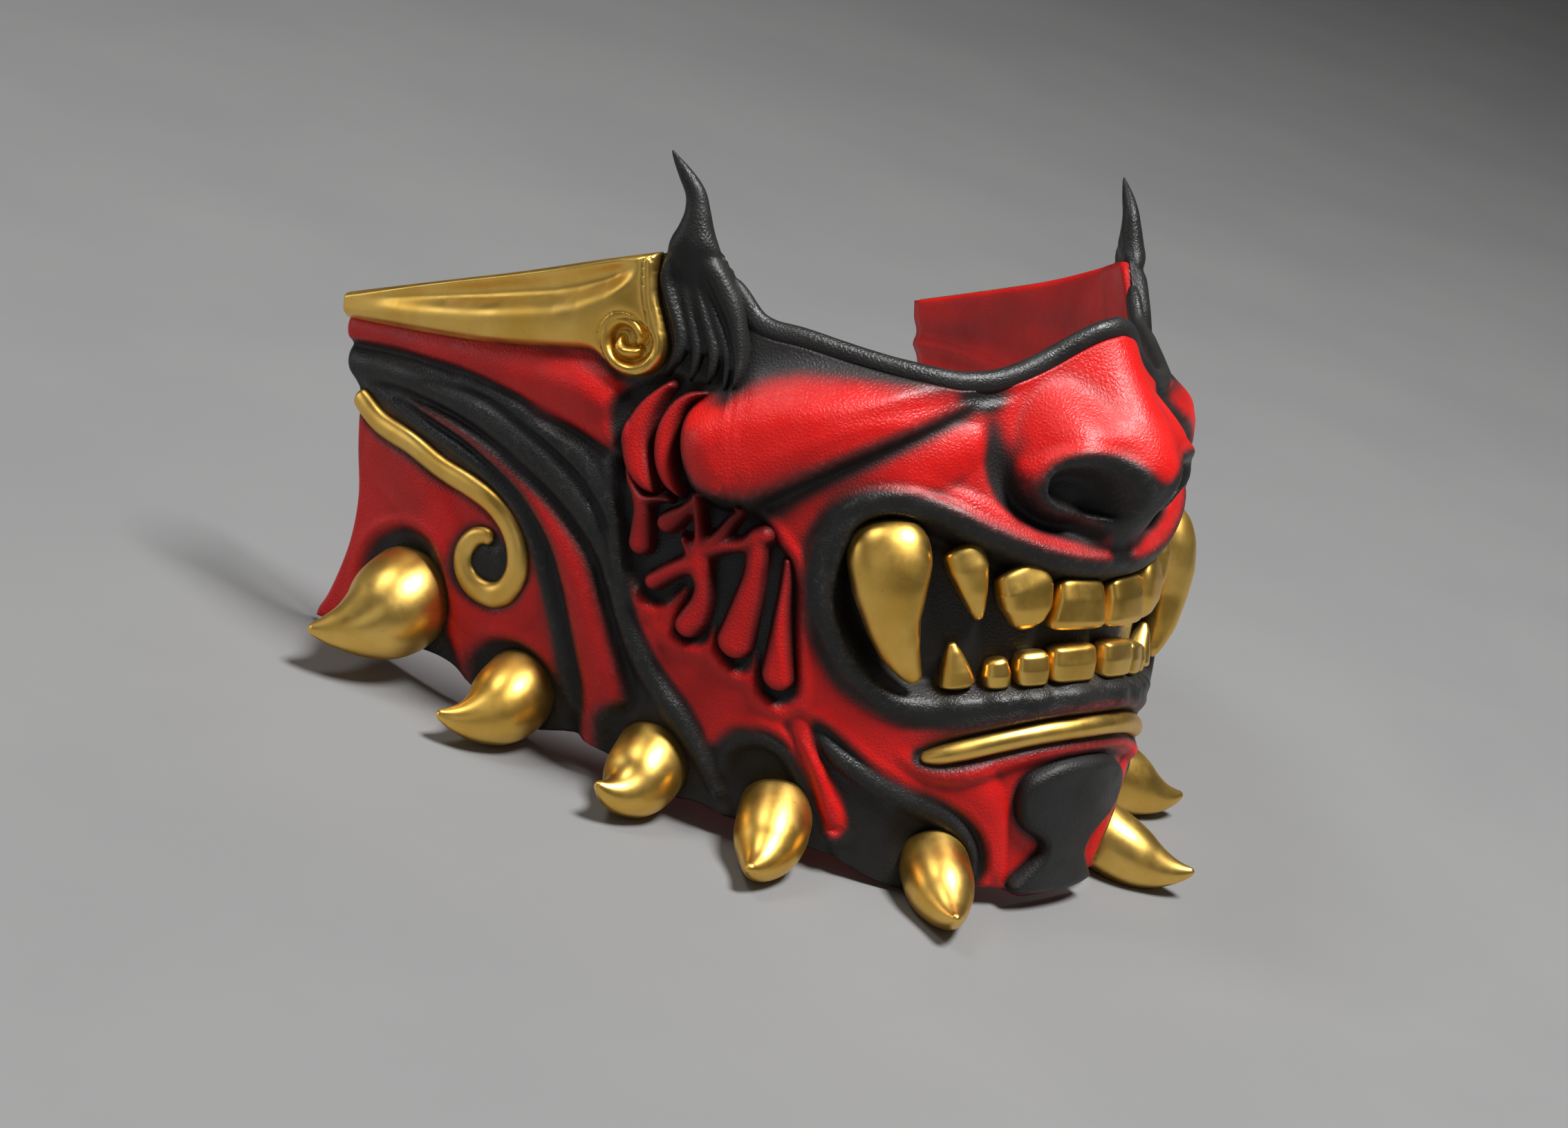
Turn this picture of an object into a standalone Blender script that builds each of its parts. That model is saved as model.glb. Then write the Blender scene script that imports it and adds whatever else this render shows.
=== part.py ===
"""Oni half mask: a leather wall with horns, spikes, teeth and gilt trim, resting by itself.

The mask is modelled upright as it is worn, facing -Y, and then leans back on its chin and its
two rear corners, the way it lies on a table. Places on its wall are charted in steps: the first
number runs round from the centre line (0) to the rear edge (GIRTH_STEPS), the second from the
chin (0) to the top of the nose bridge (HEIGHT_STEPS).
"""
import math

import bmesh
import bpy
import numpy as np
from mathutils import Matrix

# Main sizes of the worn mask, in metres
FACE_HEIGHT = 0.127
HALF_WIDTH = 0.094
DEPTH = 0.152
WALL = 0.003
SEAT_GAP = 0.0003

# Relief pressed into the wall
NOSE_RISE = 0.016
WING_RISE = 0.0105
CHEEK_RISE = 0.008
MOUTH_DEPTH = 0.0055
LIP_RISE = 0.0022
FOLD_RISE = 0.0018
SOCKET_DEPTH = 0.002

# Pieces set on the wall
RIM_HALF = 0.0023
RIM_DROP = 0.0034
HORN_HALF = 0.0065
HORN_HEIGHT = 0.0215
ROOT_RISE = 0.0040
FINGER_HALF = 0.0022
SPIKE_HALF = 0.0070
SPIKE_REACH = 0.0225
FANG_HALF = 0.0078
TOOTH_HALF = 0.0075
TOOTH_DEPTH = 0.0034
BAR_HALF = 0.0027
SCROLL_HALF = 0.0019
PLATE_RISE = 0.0032
VOLUTE_HALF = 0.0021
CRESCENT_HALF = 0.0029
DRIP_HALF = 0.0027
DRIP_RISE = 0.0021
PATCH_RISE = 0.0030
SEAT_DEPTH = 0.011
SIDE_NAMES = {1: "left", -1: "right"}

# How finely the wall is charted and how many flats go round a piece
GIRTH_STEPS = 185.0
HEIGHT_STEPS = 127.0
# the rim bead ends this many steps from the centre, where the horns stand
RIM_END = 79.6
WALL_STATIONS = (0, 4, 8, 12, 17, 22, 28, 34, 41, 48, 55, 62, 69, 75, 79.5, 83, 88, 94, 100, 106,
                 112, 119, 127, 135, 144, 154, 165, 176, 185)
SIDES = 7
SMALL_SIDES = 5
TOOTH_SIDES = 6
WALL_ROWS = 15
# a narrow stretch of a bar stays nearly as high as a wide one
DEPTH_TAPER = 0.4
# the first and last ring of a bar lie this share of its length from its ends
END_SHARE = 0.05
# steps over which the hollow of the mouth falls to its full depth
MOUTH_SLOPE = 4.0
# how much of the rear edge's lean is kept for the last steps before it
REAR_POWER = 8
HORN_RINGS = 9

STATIONS = np.array([0.0, 0.243, 0.497, 0.741, 1.0])
# height of the level, then x and y at the five stations, as shares of FACE_HEIGHT, HALF_WIDTH, DEPTH
LEVELS = np.array([
    # height, x0, x1, x2, x3, x4, y0, y1, y2, y3, y4
    (0.000, 0, 0.234, 0.511, 0.723, 0.915, -0.257, -0.230, -0.072, 0.211, 0.605),
    (0.236, 0, 0.330, 0.638, 0.819, 0.979, -0.329, -0.250, -0.053, 0.237, 0.618),
    (0.472, 0, 0.404, 0.723, 0.894, 1.005, -0.375, -0.270, -0.039, 0.250, 0.612),
    (0.709, 0, 0.447, 0.766, 0.926, 1.000, -0.375, -0.276, -0.033, 0.250, 0.579),
    (0.945, 0, 0.415, 0.764, 0.926, 1.000, -0.368, -0.267, -0.026, 0.250, 0.553),
    (1.142, 0, 0.410, 0.784, 0.926, 1.000, -0.368, -0.263, -0.013, 0.250, 0.539),
])

# Edges of the wall in chart steps: round, up
TOP_EDGE = [(0, 126.3), (5, 125.2), (10, 123), (15, 120.5), (20, 118.3), (25, 116.5), (30, 115.3),
            (35, 115), (40, 115.2), (50, 117.5), (60, 120.5), (70, 124), (76, 125.7), (79.5, 128.6),
            (83, 136), (85, 140.5), (96, 140), (110, 138.6), (130, 136.5), (150, 135), (185, 132.5)]
BOTTOM_EDGE = [(0, 1.3), (13, 1.4), (20, 2.2), (27, 4), (40, 5.2), (50, 4.4), (60, 4.2), (70, 7),
               (78, 12), (84, 14), (91, 15.5), (98, 19.5), (106, 23.7), (111, 24.5), (117, 28),
               (124, 34), (130, 37.2), (140, 37.3), (146, 41), (152.5, 48.5), (157, 52),
               (163.7, 54.2), (175, 57), (185, 60)]
# how far the rear edge stands off the last station: up, steps round
REAR_EDGE = [(57, 2.5), (61, 2.5), (65, 0), (72, -3), (79, -5), (88, -5.8), (98, -4.5),
             (107, -4), (113, -2.7), (117, -1), (126, 0), (133, 0.5)]

# Nose: up, rise as a share of NOSE_RISE, half width in steps
NOSE = np.array([(68, 0, 7), (74, 0.03, 7), (78, 0.19, 8), (83, 0.53, 9.5), (88, 0.84, 11.5),
                 (93, 1, 13), (98, 0.97, 13.5), (104, 0.84, 12.5), (111, 0.62, 11), (119, 0.4, 10),
                 (127, 0.22, 10), (140, 0.2, 10)])
WING = {"centre": (13.5, 96.5), "half": (13.5, 12.5)}
MOUTH = [(0, 72.5), (10, 73), (20, 75), (30, 79), (38, 82.5), (46, 86.5), (53, 87.5), (59, 85),
         (63, 79), (65, 72), (65, 64), (61, 54), (56, 48.8), (50, 46.5), (40, 46), (30, 46.5),
         (10, 47.5), (0, 48)]

# Rolls and folds in chart steps: round, up, half width, rise as a share of the fold's own size
CHEEK_ROLL = [(85.5, 99.5, 9, 0.9), (81, 101.5, 13.5, 1), (72, 103.5, 12.5, 0.95), (62, 106, 10, 0.78),
              (52, 108, 7.5, 0.55), (42, 109.8, 5, 0.38), (34, 110.8, 3, 0.22), (28, 111.5, 1.5, 0.1)]
LIP_ROLL = [(0, 74.6, 3, 1), (10, 75, 3, 1), (20, 77.5, 3, 1), (30, 81.3, 3, 1), (38, 85, 3.2, 1),
            (46, 88.6, 3.2, 1), (54, 89, 3.2, 1), (60.5, 86.5, 3.4, 1), (65, 80, 3.4, 1),
            (67.3, 72, 3.4, 1), (67.3, 64, 3.4, 1), (63.5, 54, 3.4, 1), (57, 47, 3.2, 1),
            (50, 44.2, 3, 1), (40, 43.6, 3, 1), (30, 44.6, 3, 1), (10, 46, 3, 1), (0, 46.3, 3, 1)]
FOLDS = {
    "temple_band": [(184, 124.5, 3, 0.6), (160, 120, 4, 0.8), (140, 116.5, 5, 1),
                    (124, 113, 6.5, 1.2), (114, 109.5, 7.5, 1.3), (110, 104, 6, 1)],
    "upper_sweep": [(180, 116, 3.5, 0.7), (160, 113, 4, 0.8), (145, 108, 4.5, 0.9),
                    (135, 102, 4.5, 0.9), (125, 95, 4.5, 0.9), (118, 87, 4.5, 0.8), (115, 80, 3, 0.4)],
    "upper_groove": [(150, 111.8, 3, -0.5), (137, 107, 3, -0.6), (124, 98, 3, -0.6), (112, 82, 3, -0.5)],
    "stripe": [(160, 108, 3, 0.5), (140, 97.5, 4, 0.7), (127, 85, 4.5, 0.8), (121, 74, 5.5, 0.9),
               (119, 60, 6, 0.9), (119.5, 48, 5.5, 0.8), (126, 39, 3, 0.4)],
    "middle_ridge": [(111, 74, 4, 0.7), (109, 62, 4.5, 1), (105, 50, 4.5, 1), (101, 41, 4.5, 1),
                     (99, 33, 3, 0.6)],
    "chin_fold": [(72, 40, 5, 0.9), (60, 33, 5, 0.9), (48, 27, 5, 0.8), (36, 20, 4, 0.7)],
}
SOCKETS = {
    "socket_5": [(52, 13, 14, -1)],
    "socket_4": [(88, 29, 11, -1)],
    "socket_3": [(113, 34, 11, -1)],
    "socket_2": [(141, 47, 11, -1)],
    "socket_1": [(165, 67, 13, -1)],
}

# Spikes: base round, base up, then the tip beyond the base: round, up and out as shares of
# SPIKE_REACH, and the thickness as a share of SPIKE_HALF
SPIKES = {
    "chin": (50.8, 11.5, 0.0, -0.16, 1.01, 1.05),
    "jaw_front": (88.0, 22.8, 0.08, -0.16, 0.99, 1.1),
    "jaw_middle": (113.5, 33.6, 0.16, 0.02, 0.85, 1.14),
    "jaw_rear": (140.0, 46.4, 0.3, 0.0, 0.88, 1.24),
    "jaw_corner": (164.2, 65.6, 0.46, -0.2, 1.0, 1.46),
}
# how far the middle of a spike hangs below its seat, as a share of SPIKE_REACH
SPIKE_SAG = 0.3
# along the spike: share of its length, share of its thickness
SPIKE_PROFILE = [(0, 1), (0.28, 0.98), (0.55, 0.76), (0.78, 0.46), (0.94, 0.19)]

# Forms of the bars that follow the wall: half width, rise above the face, share of that rise sunk
# below the face, rings along the bar and flats round it
BAR_FORMS = {
    "root": dict(half=HORN_HALF, rise=ROOT_RISE, sunk=0.2, rings=7, sides=SIDES),
    "finger": dict(half=FINGER_HALF, rise=0.00198, sunk=0.3, rings=5, sides=SMALL_SIDES),
    "crescent": dict(half=CRESCENT_HALF, rise=0.00261, sunk=0.3, rings=9, sides=SIDES),
    "drip": dict(half=DRIP_HALF, rise=DRIP_RISE, sunk=0.5, sides=SMALL_SIDES),
    "volute": dict(half=VOLUTE_HALF, rise=0.00315, sunk=0.2, rings=13, sides=SMALL_SIDES),
    "ball": dict(half=VOLUTE_HALF, rise=0.00336, sunk=0.2, rings=5, sides=SMALL_SIDES),
    "side_scroll": dict(half=SCROLL_HALF, rise=SCROLL_HALF, sunk=0.1, rings=21, sides=SMALL_SIDES),
    "chin_bar": dict(half=BAR_HALF, rise=0.00243, sunk=0.1, rings=13, sides=SMALL_SIDES),
}
# Paths of the bars that follow the wall. Columns: round, up, half width as a share of the piece's own size
HORN_ROOT = [(88.5, 141.5, 0.86), (88.6, 139, 0.9), (88.6, 133, 1.02), (88.2, 127, 1.1),
             (88, 121, 1.08), (88, 117.5, 0.6)]
# across the rim bead: out from the wall's middle as a share of RIM_HALF, share of the bead's height
RIM_PROFILE = [(0.75, 0), (1.1, 0.4), (0.85, 0.82), (0, 1), (-0.85, 0.82), (-1.1, 0.4), (-0.75, 0)]
# horn above the wall: round, height as a share of HORN_HEIGHT, half width as a share of HORN_HALF
HORN = [(88.8, -0.5, 0.8), (88.8, -0.12, 0.74), (88.3, 0.1, 0.54), (88.3, 0.32, 0.4),
        (89.2, 0.55, 0.35), (91, 0.75, 0.26), (92.6, 0.9, 0.16), (93.7, 0.98, 0.08), (94.1, 1, 0.01)]
FINGERS = [
    [(94, 127, 0.6), (95.2, 122, 1), (96.5, 118, 0.8), (98, 114.7, 0.1)],
    [(91.8, 125, 0.6), (92.3, 120, 0.9), (92.3, 116.5, 0.7), (92.8, 113.5, 0.1)],
    [(88.8, 125, 0.6), (88.5, 120, 0.8), (88.3, 116, 0.7), (89, 113, 0.1)],
    [(86, 124, 0.6), (85.4, 119, 0.8), (84.8, 115, 0.7), (85.4, 111.3, 0.1)],
    [(82.8, 124, 0.6), (81.8, 119.5, 0.8), (81.9, 115.5, 0.7), (83.4, 111.7, 0.1)],
]
CRESCENT_REAR = [(96.4, 113, 0.1), (98.2, 111.6, 0.5), (101.3, 108.8, 0.74), (103.8, 105, 0.92),
                 (104.4, 100.5, 1), (103.4, 96, 0.93), (101.6, 92.6, 0.6), (100, 90.9, 0.1)]
CRESCENT_FRONT = [(88.6, 111.6, 0.1), (90.6, 111.3, 0.4), (94, 109.4, 0.64), (96.6, 106, 0.83),
                  (97.7, 101.5, 0.93), (97.4, 97, 0.93), (96, 93, 0.7), (94.2, 90.2, 0.1)]
TAIL_DRIP = [
    [(106.4, 94.8, 0.1), (105.2, 91.5, 0.5), (104.9, 87.5, 0.55), (105, 83.5, 0.75),
     (104.8, 80.2, 0.95), (104.7, 77.4, 0.1)],
    [(105.2, 90, 0.3), (102, 89.6, 0.42), (97.4, 88.7, 0.1)],
]
DRIP_WEB = [
    [(91.2, 88.6, 0.1), (90.8, 84, 0.55), (91.2, 78.5, 0.75), (91.8, 74, 0.72), (93.6, 69, 0.72),
     (96, 64.2, 1), (97.8, 61.8, 0.9), (99.2, 60, 0.1)],
    [(90.8, 86, 0.6), (94.6, 86.2, 0.75), (98, 84.7, 0.98), (100.8, 83.4, 0.1)],
    [(95, 81.6, 0.1), (94.4, 79, 0.5), (92, 75.5, 0.5)],
    [(91.5, 77, 0.6), (96, 75, 0.62), (100.5, 73, 0.68), (103.2, 71.8, 0.62), (105, 71, 0.1)],
    [(81, 87.4, 0.1), (84.6, 84.6, 0.55), (87.6, 81.6, 0.65), (91, 79, 0.6)],
    [(91, 79, 0.5), (85, 79.7, 0.42), (80, 80.6, 0.6), (77, 82, 0.3)],
    [(79, 81.5, 0.5), (80.8, 76, 0.68), (83, 69.5, 0.85), (86, 63, 1.12), (88, 58.8, 1.2), (89.4, 55, 0.1)],
    [(79.6, 80.4, 0.85), (76.4, 78.8, 0.8), (75.4, 73, 0.65), (77, 64, 0.74), (78.6, 57, 1.08),
     (79.1, 53, 1.2), (79.3, 49, 0.1)],
]
SIDE_SCROLL = [(180.8, 109.8, 0.1), (179.3, 108.6, 0.95), (173.3, 103.8, 1), (163.3, 99.2, 1),
               (155, 94.4, 1), (146.7, 90.6, 1), (140.8, 87, 1), (136.9, 82.6, 1), (135.2, 77.6, 1),
               (135.8, 72.3, 1), (138.6, 68.3, 1), (142.4, 67, 1), (146.6, 68.7, 1), (149, 72.3, 1),
               (148.8, 76.5, 1), (146.2, 79.4, 0.95), (142.8, 79.9, 0.9), (140.8, 78.9, 0.1)]
CHIN_BAR = [(-50.5, 34.2, 0.1), (-48.5, 34.4, 0.75), (-40, 35.7, 0.97), (-30, 37.4, 1),
            (-20, 38.7, 1), (-10, 39.4, 1), (0, 39.6, 1), (10, 39.4, 1), (20, 38.7, 1),
            (30, 37.4, 1), (40, 35.7, 0.97), (48.5, 34.4, 0.75), (50.5, 34.2, 0.1)]
VOLUTE = [(98.9, 138.6, 0.1), (98.6, 136, 0.7), (98.2, 130, 0.72), (97.9, 124, 0.78),
          (98.9, 118.8, 0.85), (102.3, 116, 0.9), (106.2, 116.3, 0.9), (109.2, 118.7, 0.9),
          (110.2, 122.3, 0.85), (108.4, 125.6, 0.8), (105, 126, 0.75), (102.5, 124.3, 0.7),
          (102, 122.3, 0.1)]
VOLUTE_BALL = [(107.4, 121.6, 0.1), (106.6, 120.9, 0.9), (105.2, 119.9, 1.2), (103.6, 119.3, 0.9),
               (102.6, 119.2, 0.1)]

# Temple plate: round, lower edge up, upper edge up
PLATE_EDGES = [(99.5, 127, 139), (109, 125.6, 138.3), (114, 120.8, 137.7), (124, 120.2, 136.8),
               (142, 121.2, 135), (164, 123.8, 133.6), (184, 126.6, 132)]
# across the plate: share of its height, rise as a share of PLATE_RISE
PLATE_PROFILE = [(0, 0.35), (0.12, 0.62), (0.42, 1), (0.64, 0.45), (0.9, 0.8), (1, 0.4)]
# Beard patch under the lower lip: up, half width in steps, rise as a share of PATCH_RISE
CHIN_PATCH = [(32.8, 9, 0.3), (30.5, 19, 0.65), (27, 24.2, 0.95), (23, 24.4, 1), (19, 20.5, 1),
              (15.5, 14.5, 1), (13, 12, 1), (10.5, 14, 1), (7, 20, 1), (4, 23.5, 0.7)]

# Teeth. Columns: round, up, half width and half depth as shares of FANG_HALF or TOOTH_HALF, out
# as a share of TOOTH_DEPTH
FANG = [(52.4, 85.3, 0.05, 0.05, -1), (52.5, 83, 0.6, 0.4, -0.8), (52.4, 77, 1, 0.7, -0.3),
        (53, 70.5, 0.96, 0.72, 0), (53.2, 64, 0.76, 0.62, 0.1), (52.4, 58, 0.58, 0.48, 0.1),
        (50.8, 53.6, 0.34, 0.3, 0), (49.2, 50.9, 0.14, 0.14, -0.1), (48.5, 50, 0.02, 0.02, -0.1)]
UPPER_TEETH = {
    "centre": [(7.9, 71.4, 0.1, 0.1, -1), (8, 71, 0.82, 0.4, -0.9), (8.4, 67, 0.88, 0.46, -0.8),
               (8.9, 62.5, 0.95, 0.42, -0.8), (9, 61, 0.9, 0.25, -0.9), (9, 60.7, 0.1, 0.1, -0.9)],
    "side": [(24.8, 74.8, 0.1, 0.1, -1), (24.2, 73.4, 0.55, 0.36, -0.9), (22.4, 69, 0.84, 0.46, -0.8),
             (22.6, 65, 0.66, 0.42, -0.8), (22.8, 62, 0.32, 0.3, -0.9), (22.7, 60.8, 0.05, 0.05, -0.9)],
    "outer": [(36.8, 79.4, 0.1, 0.1, -1), (36.4, 78, 0.4, 0.34, -0.9), (35.3, 74, 0.56, 0.42, -0.8),
              (34.8, 69.5, 0.42, 0.38, -0.8), (34, 65.5, 0.2, 0.24, -0.9), (33.8, 63.4, 0.04, 0.04, -0.9)],
}
LOWER_TEETH = {
    "centre": [(9, 57.6, 0.1, 0.1, -1), (9, 57, 0.7, 0.3, -1), (9, 53.5, 0.78, 0.4, -1),
               (9, 50, 0.74, 0.4, -1), (9, 48.8, 0.1, 0.1, -1)],
    "side": [(20.9, 56.4, 0.1, 0.1, -1), (20.9, 55.8, 0.4, 0.28, -1), (21, 52.5, 0.48, 0.38, -1),
             (21, 49.4, 0.46, 0.38, -1), (21, 48.4, 0.1, 0.1, -1)],
    "outer": [(30.2, 55, 0.1, 0.1, -1), (30.1, 54.2, 0.28, 0.26, -1), (30, 51.5, 0.4, 0.36, -1),
              (30, 49, 0.4, 0.36, -1), (30, 48, 0.1, 0.1, -1)],
    "canine": [(40.4, 58.4, 0.03, 0.03, -0.9), (40.3, 56.4, 0.2, 0.2, -0.9), (40, 52.6, 0.4, 0.36, -1),
               (39.8, 49.4, 0.52, 0.4, -1), (39.8, 48.2, 0.1, 0.1, -1)],
}


def weights(knots, places):
    """How much each knot counts in a smooth curve through all knots, read at each place."""
    count = len(knots)
    gap = np.diff(knots)
    system = np.eye(count)
    right = np.zeros((count, count))
    for i in range(1, count - 1):
        before, after = gap[i - 1], gap[i]
        system[i, i - 1:i + 2] = before, 2 * (before + after), after
        right[i, i - 1:i + 2] = 6 / before, -6 / before - 6 / after, 6 / after
    bend = np.linalg.solve(system, right)
    low = np.clip(np.searchsorted(knots, places, side="right") - 1, 0, count - 2)
    near = ((knots[low + 1] - places) / gap[low])[:, None]
    far = 1 - near
    unit = np.eye(count)
    curve = (near ** 3 - near) * bend[low] + (far ** 3 - far) * bend[low + 1]
    return near * unit[low] + far * unit[low + 1] + curve * (gap[low] ** 2 / 6)[:, None]


def smooth(rows, count):
    """The rows of a table read along a smooth curve through them, close together at both ends."""
    rows = np.array(rows, float)
    steps = np.linalg.norm(np.diff(rows[:, :2], axis=0), axis=1)
    reach = np.concatenate([[0], np.cumsum(steps)])
    places = np.concatenate([[0], np.linspace(END_SHARE, 1 - END_SHARE, count - 2), [1]])
    return weights(reach / reach[-1], places) @ rows


def edge(rows, places):
    """Straight reading of a two-column table."""
    rows = np.array(rows, float)
    return np.interp(places, rows[:, 0], rows[:, 1])


def wall(girth, height):
    """Points on the plain wall, before any relief."""
    girth = np.asarray(girth, float).ravel()
    height = np.asarray(height, float).ravel()
    across = np.concatenate([-STATIONS[:0:-1], STATIONS])
    round_shares = weights(across, np.abs(girth) / GIRTH_STEPS)
    up_shares = weights(LEVELS[:, 0], height / HEIGHT_STEPS)
    x_table, y_table = LEVELS[:, 1:6], LEVELS[:, 6:11]
    x_table = np.hstack([-x_table[:, :0:-1], x_table]) * HALF_WIDTH
    y_table = np.hstack([y_table[:, :0:-1], y_table]) * DEPTH
    x = np.einsum("nk,kj,nj->n", up_shares, x_table, round_shares) * np.where(girth < 0, -1, 1)
    y = np.einsum("nk,kj,nj->n", up_shares, y_table, round_shares)
    return np.stack([x, y, height / HEIGHT_STEPS * FACE_HEIGHT], 1)


def outward(girth, height):
    """Unit normals of the plain wall."""
    girth = np.asarray(girth, float).ravel()
    height = np.asarray(height, float).ravel()
    across = wall(girth + 0.5, height) - wall(girth - 0.5, height)
    upward = wall(girth, height + 0.5) - wall(girth, height - 0.5)
    normal = np.cross(across, upward)
    return normal / np.linalg.norm(normal, axis=1, keepdims=True)


def roll(girth, height, rows, power):
    """Rise of a roll along a path: 1 at its middle times the row's own rise, 0 at its side."""
    result = np.zeros_like(girth)
    rows = np.array(rows, float)
    if len(rows) == 1:
        rows = np.vstack([rows, rows])
    for start, end in zip(rows[:-1], rows[1:]):
        run = end[:2] - start[:2]
        length = max(run @ run, 1e-9)
        share = np.clip(((girth - start[0]) * run[0] + (height - start[1]) * run[1]) / length, 0, 1)
        centre = start[None] + share[:, None] * (end - start)[None]
        apart = np.hypot(girth - centre[:, 0], height - centre[:, 1]) / centre[:, 2]
        rise = centre[:, 3] * np.clip(1 - apart ** 2, 0, None) ** power
        result = np.where(np.abs(rise) > np.abs(result), rise, result)
    return result


def inside(girth, height, outline):
    """Distance in steps inside a closed outline, and 0 outside it."""
    outline = np.array(outline, float)
    nearest = np.full(len(girth), 1e9)
    odd = np.zeros(len(girth), bool)
    for start, end in zip(outline, np.roll(outline, -1, axis=0)):
        run = end - start
        share = np.clip(((girth - start[0]) * run[0] + (height - start[1]) * run[1]) / (run @ run), 0, 1)
        apart = np.hypot(girth - start[0] - share * run[0], height - start[1] - share * run[1])
        on_centre_line = start[0] == 0 and end[0] == 0
        nearest = nearest if on_centre_line else np.minimum(nearest, apart)
        crosses = (start[1] > height) != (end[1] > height)
        rise = np.where(run[1] == 0, 1.0, run[1])
        odd ^= crosses & (girth < start[0] + (height - start[1]) / rise * run[0])
    return np.where(odd, nearest, 0.0)


def modelled_relief(girth, height):
    """How far the modelled face stands out of the plain wall, in metres."""
    girth = np.abs(np.asarray(girth, float).ravel())
    height = np.asarray(height, float).ravel()
    low, high = NOSE[0, 0], NOSE[-1, 0]
    shares = weights(NOSE[:, 0], np.clip(height, low, high))
    ridge = NOSE_RISE * (shares @ NOSE[:, 1]) * np.exp(-(girth / (shares @ NOSE[:, 2])) ** 2)
    across = (girth - WING["centre"][0]) / WING["half"][0]
    upward = (height - WING["centre"][1]) / WING["half"][1]
    wing = WING_RISE * np.sqrt(np.clip(1 - across ** 2 - upward ** 2, 0, None))
    total = np.maximum(ridge, wing)
    total += CHEEK_RISE * roll(girth, height, CHEEK_ROLL, 0.5)
    total += LIP_RISE * roll(girth, height, LIP_ROLL, 1)
    for fold in FOLDS.values():
        total += FOLD_RISE * roll(girth, height, fold, 1)
    for socket in SOCKETS.values():
        total += SOCKET_DEPTH * roll(girth, height, socket, 1)
    into = np.clip(inside(girth, height, MOUTH) / MOUTH_SLOPE, 0, 1)
    return total - MOUTH_DEPTH * into * into * (3 - 2 * into)


def limits(girth):
    """Heights of the wall's lower and upper edge, the upper one under the rim roll."""
    reach = np.abs(np.asarray(girth, float))
    top = edge(TOP_EDGE, reach)
    under_rim = reach < RIM_END
    return edge(BOTTOM_EDGE, reach), np.where(under_rim, top - RIM_DROP * HEIGHT_STEPS / FACE_HEIGHT, top)


def relief(girth, height):
    """The relief as the flat facets of the wall carry it, read between their corners."""
    reach = np.clip(np.abs(np.asarray(girth, float).ravel()), 0, WALL_STATIONS[-1])
    stations = np.array(WALL_STATIONS, float)
    low, high = limits(stations)
    bottom, top = np.interp(reach, stations, low), np.interp(reach, stations, high)
    row = np.clip((np.asarray(height, float).ravel() - bottom) / (top - bottom), 0, 1) * (WALL_ROWS - 1)
    column = np.interp(reach, stations, np.arange(len(stations)))
    left = np.minimum(column.astype(int), len(stations) - 2)
    under = np.minimum(row.astype(int), WALL_ROWS - 2)
    across, upward = column - left, row - under
    heights = low + (high - low) * np.linspace(0, 1, WALL_ROWS)[:, None]
    corners = modelled_relief(np.broadcast_to(stations, heights.shape), heights).reshape(heights.shape)
    lower = corners[under, left] * (1 - across) + corners[under, left + 1] * across
    upper = corners[under + 1, left] * (1 - across) + corners[under + 1, left + 1] * across
    return lower * (1 - upward) + upper * upward


def face(girth, height, out=0.0):
    """Points on the relief, moved out along the wall's normal."""
    stand_off = relief(girth, height) + out
    return wall(girth, height) + stand_off[:, None] * outward(girth, height)


def painted(name, colour, roughness, metallic):
    """Material of one finish."""
    material = bpy.data.materials.new(name)
    material.use_nodes = True
    shader = material.node_tree.nodes["Principled BSDF"]
    shader.inputs["Base Color"].default_value = (*colour, 1)
    shader.inputs["Roughness"].default_value = roughness
    shader.inputs["Metallic"].default_value = metallic
    material.diffuse_color = (*colour, 1)
    return material


FINISHES = {
    "red": ((0.62, 0.015, 0.018), 0.42, 0.0),
    "black": ((0.022, 0.022, 0.021), 0.5, 0.0),
    "gold": ((0.83, 0.6, 0.2), 0.3, 1.0),
}


def solid(name, points, faces, finish):
    """Object from points and faces, with its faces turned outwards."""
    mesh = bpy.data.meshes.new(name)
    shape = bmesh.new()
    corners = [shape.verts.new(point) for point in points]
    for ring in faces:
        shape.faces.new([corners[i] for i in ring])
    bmesh.ops.recalc_face_normals(shape, faces=shape.faces)
    bmesh.ops.triangulate(shape, faces=shape.faces)
    shape.to_mesh(mesh)
    shape.free()
    mesh.materials.append(painted(name, *FINISHES[finish]))
    mesh.shade_smooth()
    mesh.set_sharp_from_angle(angle=math.radians(45))
    item = bpy.data.objects.new(name, mesh)
    bpy.context.collection.objects.link(item)
    return item


def closed_grid(outer, inner):
    """Points and faces of a sheet with two sides, from two grids of the same size."""
    rows, columns = outer.shape[:2]
    points = np.concatenate([outer.reshape(-1, 3), inner.reshape(-1, 3)])
    back = rows * columns

    def at(row, column):
        return row * columns + column

    faces = []
    for row in range(rows - 1):
        for column in range(columns - 1):
            ring = (at(row, column), at(row, column + 1), at(row + 1, column + 1), at(row + 1, column))
            faces.append(ring)
            faces.append(tuple(back + i for i in reversed(ring)))
    rim = [at(0, c) for c in range(columns)] + [at(r, columns - 1) for r in range(1, rows)]
    rim += [at(rows - 1, c) for c in range(columns - 2, -1, -1)] + [at(r, 0) for r in range(rows - 2, 0, -1)]
    for here, there in zip(rim, rim[1:] + rim[:1]):
        faces.append((there, here, back + here, back + there))
    return points, faces


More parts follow.
